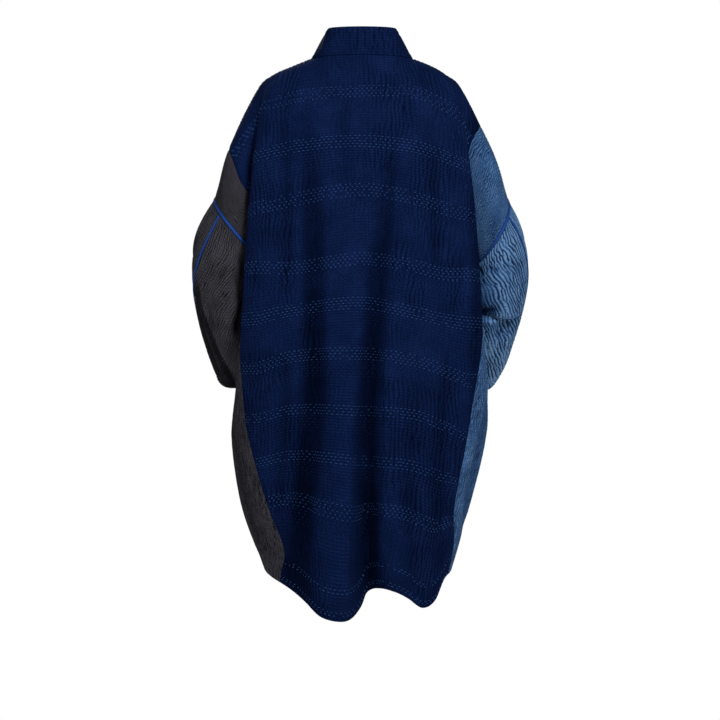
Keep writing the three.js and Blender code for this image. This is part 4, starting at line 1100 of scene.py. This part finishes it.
SIDE_CREASES = {  # by the distance from the middle strip and the drop
    ("left", "back"): (
        (70, 330, 44, 600, 4, 3, 10), (96, 420, 84, 760, -3, 2.5, 10), (40, 640, 60, 900, 3, 3, 11),
    ),
    ("right", "back"): (
        (60, 340, 50, 560, 4, 3, 10), (92, 390, 98, 700, 3, 2.5, 10), (46, 600, 40, 880, -3, 3, 11),
    ),
    ("left", "front"): (
        (58, 320, 40, 640, 5, 4, 11), (88, 360, 92, 800, -4, 4, 12), (50, 660, 62, 910, 3, 3, 10),
    ),
    ("right", "front"): (
        (66, 330, 52, 580, 4, 4, 11), (94, 400, 84, 760, 4, 3.5, 12), (40, 620, 54, 900, -3, 3, 10),
    ),
}


def at_armhole(name, face, normals, across, drop):
    """The cloth turns towards its mitre as it comes near the armhole."""
    held = (drop <= UNDERARM) * ramp(MITRE_START, 1, np.abs(across))
    chosen = held > 0
    mitre = hole_normal(name, face, drop[chosen])
    normals[chosen] = unit(mix(normals[chosen], mitre, held[chosen][:, None]))
    return normals


for name, side in SIDES.items():
    cloth, slot, apart, long, deep = SIDE_CLOTH[name]
    for face in ("back", "front"):
        column = name + face.capitalize()
        points, normals, across, drop = strip_grid(
            face, SIDE_COLUMNS,
            lambda s, d: side["sign"] * np.where(s == 1, 1, mix(strip_seam(column, d), 1, s)),
        )
        normals = at_armhole(name, face, normals, across, drop)
        u = cloth_lengths(points)
        seed = SIDE_SEED + 2 * side["sign"] + (face == "back")
        grooves = 1 - crinkle(u, drop, apart, long, 10 * seed)
        held = patches(u, drop, SIDE_PATCHES, 0.55, (-0.5, 0.5), seed + 5)
        sunk = creases(SIDE_CREASES[name, face], u, drop)
        points = creased(points, normals, sunk)
        strip, outside = quilt(
            f"side_{name}_{face}_cloth", drawn_in(points), normals, u, drop,
            deep * held * (0.25 - grooves), worn_and_shaded(*SIDE_WEAR_AND_SHADE, held, grooves, sunk), cloth,
        )
        sewing = stitch_rows(
            f"side_{name}_{face}_stitches", outside, normals, u, drop, band_rows(SIDE_BANDS[name]),
            SIDE_STITCH[name], seed
        )
        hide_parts(f"side_{name}_{face}")
        for piece in (strip, sewing):
            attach(piece, "root")


# ------------------------------------------------------------------------------- the sleeves
# Each sleeve is a tube of two pieces, one behind and one in front, in the cloth of the side strip
# beside it. The rows of stitches run round the arm, so the cloth puckers along it, and most of all
# on the blue sleeve, which is drawn in harder.
SLEEVE_COLUMNS = {"back": 180, "front": 249}
SLEEVE_ROWS = 150
SLEEVE_SEED = 80
SLEEVE_PATCHES = (14, 18)
# how worn the crests are, and how much darker the grooves, partly for wear and partly as painted shade
SLEEVE_WEAR_AND_SHADE = (0.72, 1.1)
SLEEVE_GROOVES = {"left": (4.6, 9, 1.5), "right": (6.2, 10, 2.6)}  # how far apart, long and deep
# A row gives a crease's two ends by the distance round from the sleeve's seam and the one along it.
SLEEVE_CREASES = {
    ("left", "back"): (
        (14, 110, 46, 296, -4, 3, 8), (24, 110, 62, 300, -5, -3, 6), (56, 58, 50, 92, 0, 2.5, 4),
        (98, 112, 104, 150, 0, -3, 8), (116, 110, 96, 180, 4, 9, 9), (84, 176, 70, 236, 3, 2, 7),
        (70, 70, 92, 96, 2, 2.5, 5), (62, 104, 84, 122, 2, 2, 5), (40, 130, 58, 176, -3, 2, 6),
    ),
    ("right", "back"): (
        (122, 143, 80, 124, -4, 6.5, 8), (112, 124, 72, 112, -3, -2.5, 11), (88, 42, 72, 64, 0, 4, 5),
        (112, 44, 104, 66, 0, 3, 5), (70, 150, 44, 210, 4, 2.5, 8), (36, 60, 22, 110, 3, 2, 8),
    ),
    ("left", "front"): (
        (70, 110, 128, 132, 5, 5, 9), (84, 146, 140, 160, 4, 4, 8), (60, 196, 104, 214, 3, 2.5, 8),
        (24, 40, 38, 92, 3, 2, 8),
    ),
    ("right", "front"): (
        (66, 104, 130, 126, 5, 5, 9), (78, 140, 136, 154, 4, 4, 8), (54, 190, 98, 208, 3, 2.5, 8),
        (26, 44, 40, 96, 3, 2, 8),
    ),
}

# The left sleeve's cloth hangs over in a pouch. Beyond its edge it is lower, with its shadow painted
# on.
POUCH = ((100, 16), (116, 24), (182, 45), (274, 68))  # the edge: along the sleeve, and round it
POUCH_STARTS, POUCH_EDGE = (96, 124), (-1, 4)
POUCH_DEPTH, PAINTED_POUCH_SHADOW = 1.6, 0.5
# The right sleeve has painted shade in the hollow behind its elbow, and is paler on the forearm.
FOREARM_SHINE, FOREARM = 0.12, (165, 200)
PAINTED_ELBOW_SHADE, ELBOW_ROUND, ELBOW_STARTS, ELBOW_ENDS = 0.22, (72, 118), (20, 60), (140, 175)
BEND = 120  # how far along the sleeve its elbow is
GROOVE_SLANT = (0.4, 0.6)  # how steeply the grooves slant above the elbow, and below it
HOLE_REACH = 9  # how far from the armhole the cloth still stands as it does there


def groove_drift(along):
    """How far round the sleeve a groove has moved, that far along it: grooves run slantwise."""
    top = np.minimum(along, BEND)
    return GROOVE_SLANT[0] * top - top**2 / (2 * BEND) - GROOVE_SLANT[1] * np.maximum(along - BEND, 0)


def sleeve_grid(name, face, columns):
    """Points, normals and distances along the sleeve of one of its two pieces."""
    side = SIDES[name]
    length = side["rings"]["along"][-1]
    s, t = np.meshgrid(np.linspace(0, 1, columns + 1), np.linspace(0, 1, SLEEVE_ROWS + 1))
    along = (t * length).ravel()
    sense = 1 if face == "back" else -1
    angle = mix(follow(side["splice"], along), sense * 180, s.ravel())
    points = sleeve_point(side, along, angle)
    normals = sleeve_normal(side, along, angle)
    held = 1 - ramp(0, HOLE_REACH, along)
    for hole_face, facing in (("back", angle >= 0), ("front", angle < 0)):
        chosen = facing & (held > 0)
        if chosen.any():
            mitre = hole_normal(name, hole_face, np.abs(angle[chosen]) / 180 * UNDERARM)
            normals[chosen] = unit(mix(normals[chosen], mitre, held[chosen][:, None]))
    shape = (SLEEVE_ROWS + 1, columns + 1)
    return points.reshape(*shape, 3), normals.reshape(*shape, 3), along.reshape(shape)


for name, side in SIDES.items():
    cloth, slot, *_ = SIDE_CLOTH[name]
    apart, long, deep = SLEEVE_GROOVES[name]
    for face, columns in SLEEVE_COLUMNS.items():
        points, normals, along = sleeve_grid(name, face, columns)
        u = cloth_lengths(points)
        seed = SLEEVE_SEED + 2 * side["sign"] + (face == "back")
        grooves = 1 - crinkle(u - groove_drift(along), along, apart, long, 10 * seed)
        held = patches(u, along, SLEEVE_PATCHES, 0.5, (-0.4, 0.4), seed + 5)
        sunk = creases(SLEEVE_CREASES[name, face], u, along)
        wear_and_shade = worn_and_shaded(*SLEEVE_WEAR_AND_SHADE, held, grooves, sunk)
        if (name, face) == ("left", "back"):
            beyond = ramp(*POUCH_EDGE, follow(POUCH, along) - u) * ramp(*POUCH_STARTS, along)
            sunk = sunk + POUCH_DEPTH * beyond
            # a painted shadow beyond the pouch's edge
            wear_and_shade -= PAINTED_POUCH_SHADOW * beyond
        if (name, face) == ("right", "back"):
            elbow = ramp(*ELBOW_STARTS, along) * (1 - ramp(*ELBOW_ENDS, along)) * ramp(*ELBOW_ROUND, u)
            # painted shade behind the elbow, and a paler forearm
            wear_and_shade += FOREARM_SHINE * ramp(*FOREARM, along) - PAINTED_ELBOW_SHADE * elbow
        points = creased(points, normals, sunk)
        sleeve, outside = quilt(
            f"sleeve_{name}_{face}_cloth", drawn_in(points), normals, u, along,
            deep * held * (0.3 - grooves), wear_and_shade, cloth,
        )
        sewing = stitch_rows(
            f"sleeve_{name}_{face}_stitches", outside, normals, u, along, band_rows(SLEEVE_BANDS[name]),
            SIDE_STITCH[name], seed
        )
        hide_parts(f"sleeve_{name}_{face}")
        for piece in (sleeve, sewing):
            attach(piece, "root")


# ------------------------------------------------------------------------------- the collar band
# A navy band, folded double, sewn on from one front hem up round the neck and down to the other.
# It stands up behind the neck and lies flat on the chest.
COLLAR_WALL = 4
COLLAR_SEED, COLLAR_PUCKER = 7, 0.6
COLLAR_RIMS = (1, 1.7, 1, 1)  # its folded edge is the roundest
COLLAR_WIDTH_NECK, COLLAR_WIDTH_FRONT = 50, 60
COLLAR_LEANS = {"nape": (0, -0.12, 1), "shoulder": (0.62, 0, 0.78), "chest": (1, -0.1, 0)}
COLLAR_FLAT_DROP = 170
COLLAR_COLUMNS, COLLAR_FRONT_ROWS, COLLAR_NECK_ROWS = 24, 466, 90


def collar_grid():
    """Points, normals and distances along the band, from its seam to its folded edge."""
    down = np.linspace(HEM, 0, COLLAR_FRONT_ROWS, endpoint=False)
    turn = np.linspace(-1, 1, COLLAR_NECK_ROWS + 1)[1:-1]
    edge = np.ones(len(down))
    parts = (("front", -edge, down), ("back", turn, 0 * turn), ("front", edge, down[::-1]))
    seam, panel, sign, rounds, drops = [], [], [], [], []
    for face, place, drop in parts:
        across = ACROSS["neck"] * place
        seam.append(body_point(face, across, drop))
        panel.append(body_normal(face, across, drop))
        sign.append(np.sign(place))
        rounds.append(np.abs(place))
        drops.append(drop)
    seam, panel, sign, rounds, drops = map(np.concatenate, (seam, panel, sign, rounds, drops))
    along = unit(np.concatenate([seam[1:2] - seam[:1], seam[2:] - seam[:-2], seam[-1:] - seam[-2:-1]]))
    flat = ramp(0, COLLAR_FLAT_DROP, drops)[:, None]
    toward = {
        place: np.stack([-sign * inward, np.full(len(sign), y), np.full(len(sign), z)], -1)
        for place, (inward, y, z) in COLLAR_LEANS.items()
    }
    lean = mix(mix(toward["nape"], toward["shoulder"], (rounds**2)[:, None]), toward["chest"], flat)
    lean = unit(lean - along * (lean * along).sum(-1, keepdims=True))
    away = np.cross(along, panel)
    away = unit(away * np.sign((away * lean).sum(-1, keepdims=True)))
    width = mix(COLLAR_WIDTH_NECK, COLLAR_WIDTH_FRONT, flat)
    out = unit(np.cross(along, lean))
    middle = COLLAR_FRONT_ROWS // 2
    out = out * np.sign((out[middle] * panel[middle]).sum())
    s = np.linspace(0, 1, COLLAR_COLUMNS + 1)[None, :, None]
    points = (seam + away * SEAM_GAP / 2)[:, None] + (lean * width)[:, None] * s
    bent = 1 - ramp(0, 1 / 3, s)  # the third of the band beside its seam turns to meet the coat
    normals = unit(mix(np.broadcast_to(out[:, None], points.shape), panel[:, None], bent))
    length = np.concatenate([[0], np.cumsum(np.linalg.norm(np.diff(seam, axis=0), axis=-1))])
    return points, normals, np.broadcast_to(length[:, None], points.shape[:2])


points, normals, along = collar_grid()
u = cloth_lengths(points)
rise, wear_and_shade = navy_quilting(along, u, COLLAR_SEED)
collar, _ = quilt(
    "collar_band", points, normals, along, u, COLLAR_PUCKER * rise, wear_and_shade, navy,
    rims=COLLAR_RIMS, wall=COLLAR_WALL
)
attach(collar, "root")
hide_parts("collar")


# ------------------------------------------------------------------------------- the seam tapes
# Royal blue cotton tape, cut on the bias and folded under at both edges, is sewn flat over each
# armhole seam, and over the sleeve seam that meets it.
ROYAL_TONES = ("0a1a44", "1a3a78", "2a509a")
royal_tape = quilted_cotton(
    "royal_blue_bias_tape", ROYAL_TONES, "132b66",
    thread_share=0.15, grain_mm=1.6, grain=0.3, slub=0.3, gloss=0.1,
)
ARMHOLE_TAPE_HALF, SLEEVE_TAPE_HALF = 3.1, 2.5
TAPE_WALL = 1.1
TAPE_LIFT = 0.2  # how far it stands off the cloth
TAPE_COLUMNS, RING_ROWS, LONG_ROWS = 12, 120, 75
TAPE_CROWN, TAPE_WAVE, TAPE_WAVE_SIZE = 0.35, 0.12, (4, 7)
TAPE_RIMS = (0.35, 0.35, 0, 0)
TAPE_EDGE = (0.5, 0.85)  # where the darker edges begin and are full, as shares of the half
TAPE_START = ARMHOLE_TAPE_HALF + 0.9  # where the sleeve's tape leaves the armhole's
BESIDE_TAPE = 10  # how far off the cloth's ways are taken, in mm along and degrees round
TAPE_STOP = 144  # degrees round the armhole from its top, where the tape ends short of the underarm


def tape(name, half, seam, normals, ways, side_normals):
    """A tape along a seam. ways are the directions in which the cloth leaves it on its two sides."""
    offset = np.linspace(-1, 1, TAPE_COLUMNS + 1)[None, :, None] * half
    left, right = -np.minimum(offset, 0), np.maximum(offset, 0)
    points = seam[:, None] + ways[0][:, None] * left + ways[1][:, None] * right
    share = np.abs(offset) / half
    toward = np.where(offset < 0, side_normals[0][:, None], side_normals[1][:, None])
    normals = unit(mix(np.broadcast_to(normals[:, None], points.shape), toward, share))
    lift = WALL / 2 + TAPE_LIFT + TAPE_WALL / 2
    along = np.concatenate([[0], np.cumsum(np.linalg.norm(np.diff(seam, axis=0), axis=-1))])
    v = np.broadcast_to(along[:, None], points.shape[:2])
    u = np.broadcast_to(offset[..., 0] + half, points.shape[:2])
    share = np.broadcast_to(share[..., 0], u.shape)
    crown = TAPE_CROWN * (1 - share**4) + TAPE_WAVE * wander(u, v, *TAPE_WAVE_SIZE, len(name))
    piece, _ = quilt(
        name, points + normals * lift, normals, u, v, crown, 0.6 - 0.5 * ramp(*TAPE_EDGE, share),
        royal_tape, rims=TAPE_RIMS, wall=TAPE_WALL
    )
    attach(piece, "root")
    return piece


for name, side in SIDES.items():
    angle = np.linspace(TAPE_STOP, -TAPE_STOP, RING_ROWS + 1)
    none = np.zeros(len(angle))
    seam = sleeve_point(side, none, angle)
    along = unit(np.gradient(seam, axis=0))
    drop = np.abs(angle) / 180 * UNDERARM
    near = BESIDE_HOLE * side["sign"] * np.ones(len(angle))
    back_side = (angle >= 0)[:, None]
    body = np.where(back_side, body_point("back", near, drop), body_point("front", near, drop))
    body_out = np.where(back_side, body_normal("back", near, drop), body_normal("front", near, drop))
    mitre = np.where(back_side, hole_normal(name, "back", drop), hole_normal(name, "front", drop))
    sleeve = sleeve_point(side, none + BESIDE_TAPE, angle)
    sleeve_out = sleeve_normal(side, none + BESIDE_TAPE, angle)
    ways = [away_from(body, seam, along), away_from(sleeve, seam, along)]
    ring_tape = tape(
        f"armhole_tape_{name}", ARMHOLE_TAPE_HALF, seam, mitre, ways, [body_out, sleeve_out]
    )
    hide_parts(f"armhole_binding_{name}")

    length = side["rings"]["along"][-1]
    run = np.linspace(TAPE_START, length, LONG_ROWS + 1)
    angle = follow(side["splice"], run)
    seam = sleeve_point(side, run, angle)
    along = unit(np.gradient(seam, axis=0))
    sides = [angle + BESIDE_TAPE, angle - BESIDE_TAPE]
    ways = [away_from(sleeve_point(side, run, place), seam, along) for place in sides]
    outs = [sleeve_normal(side, run, place) for place in sides]
    normals = sleeve_normal(side, run, angle)
    long_tape = tape(f"sleeve_tape_{name}", SLEEVE_TAPE_HALF, seam, normals, ways, outs)
    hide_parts(f"sleeve_binding_{name}")
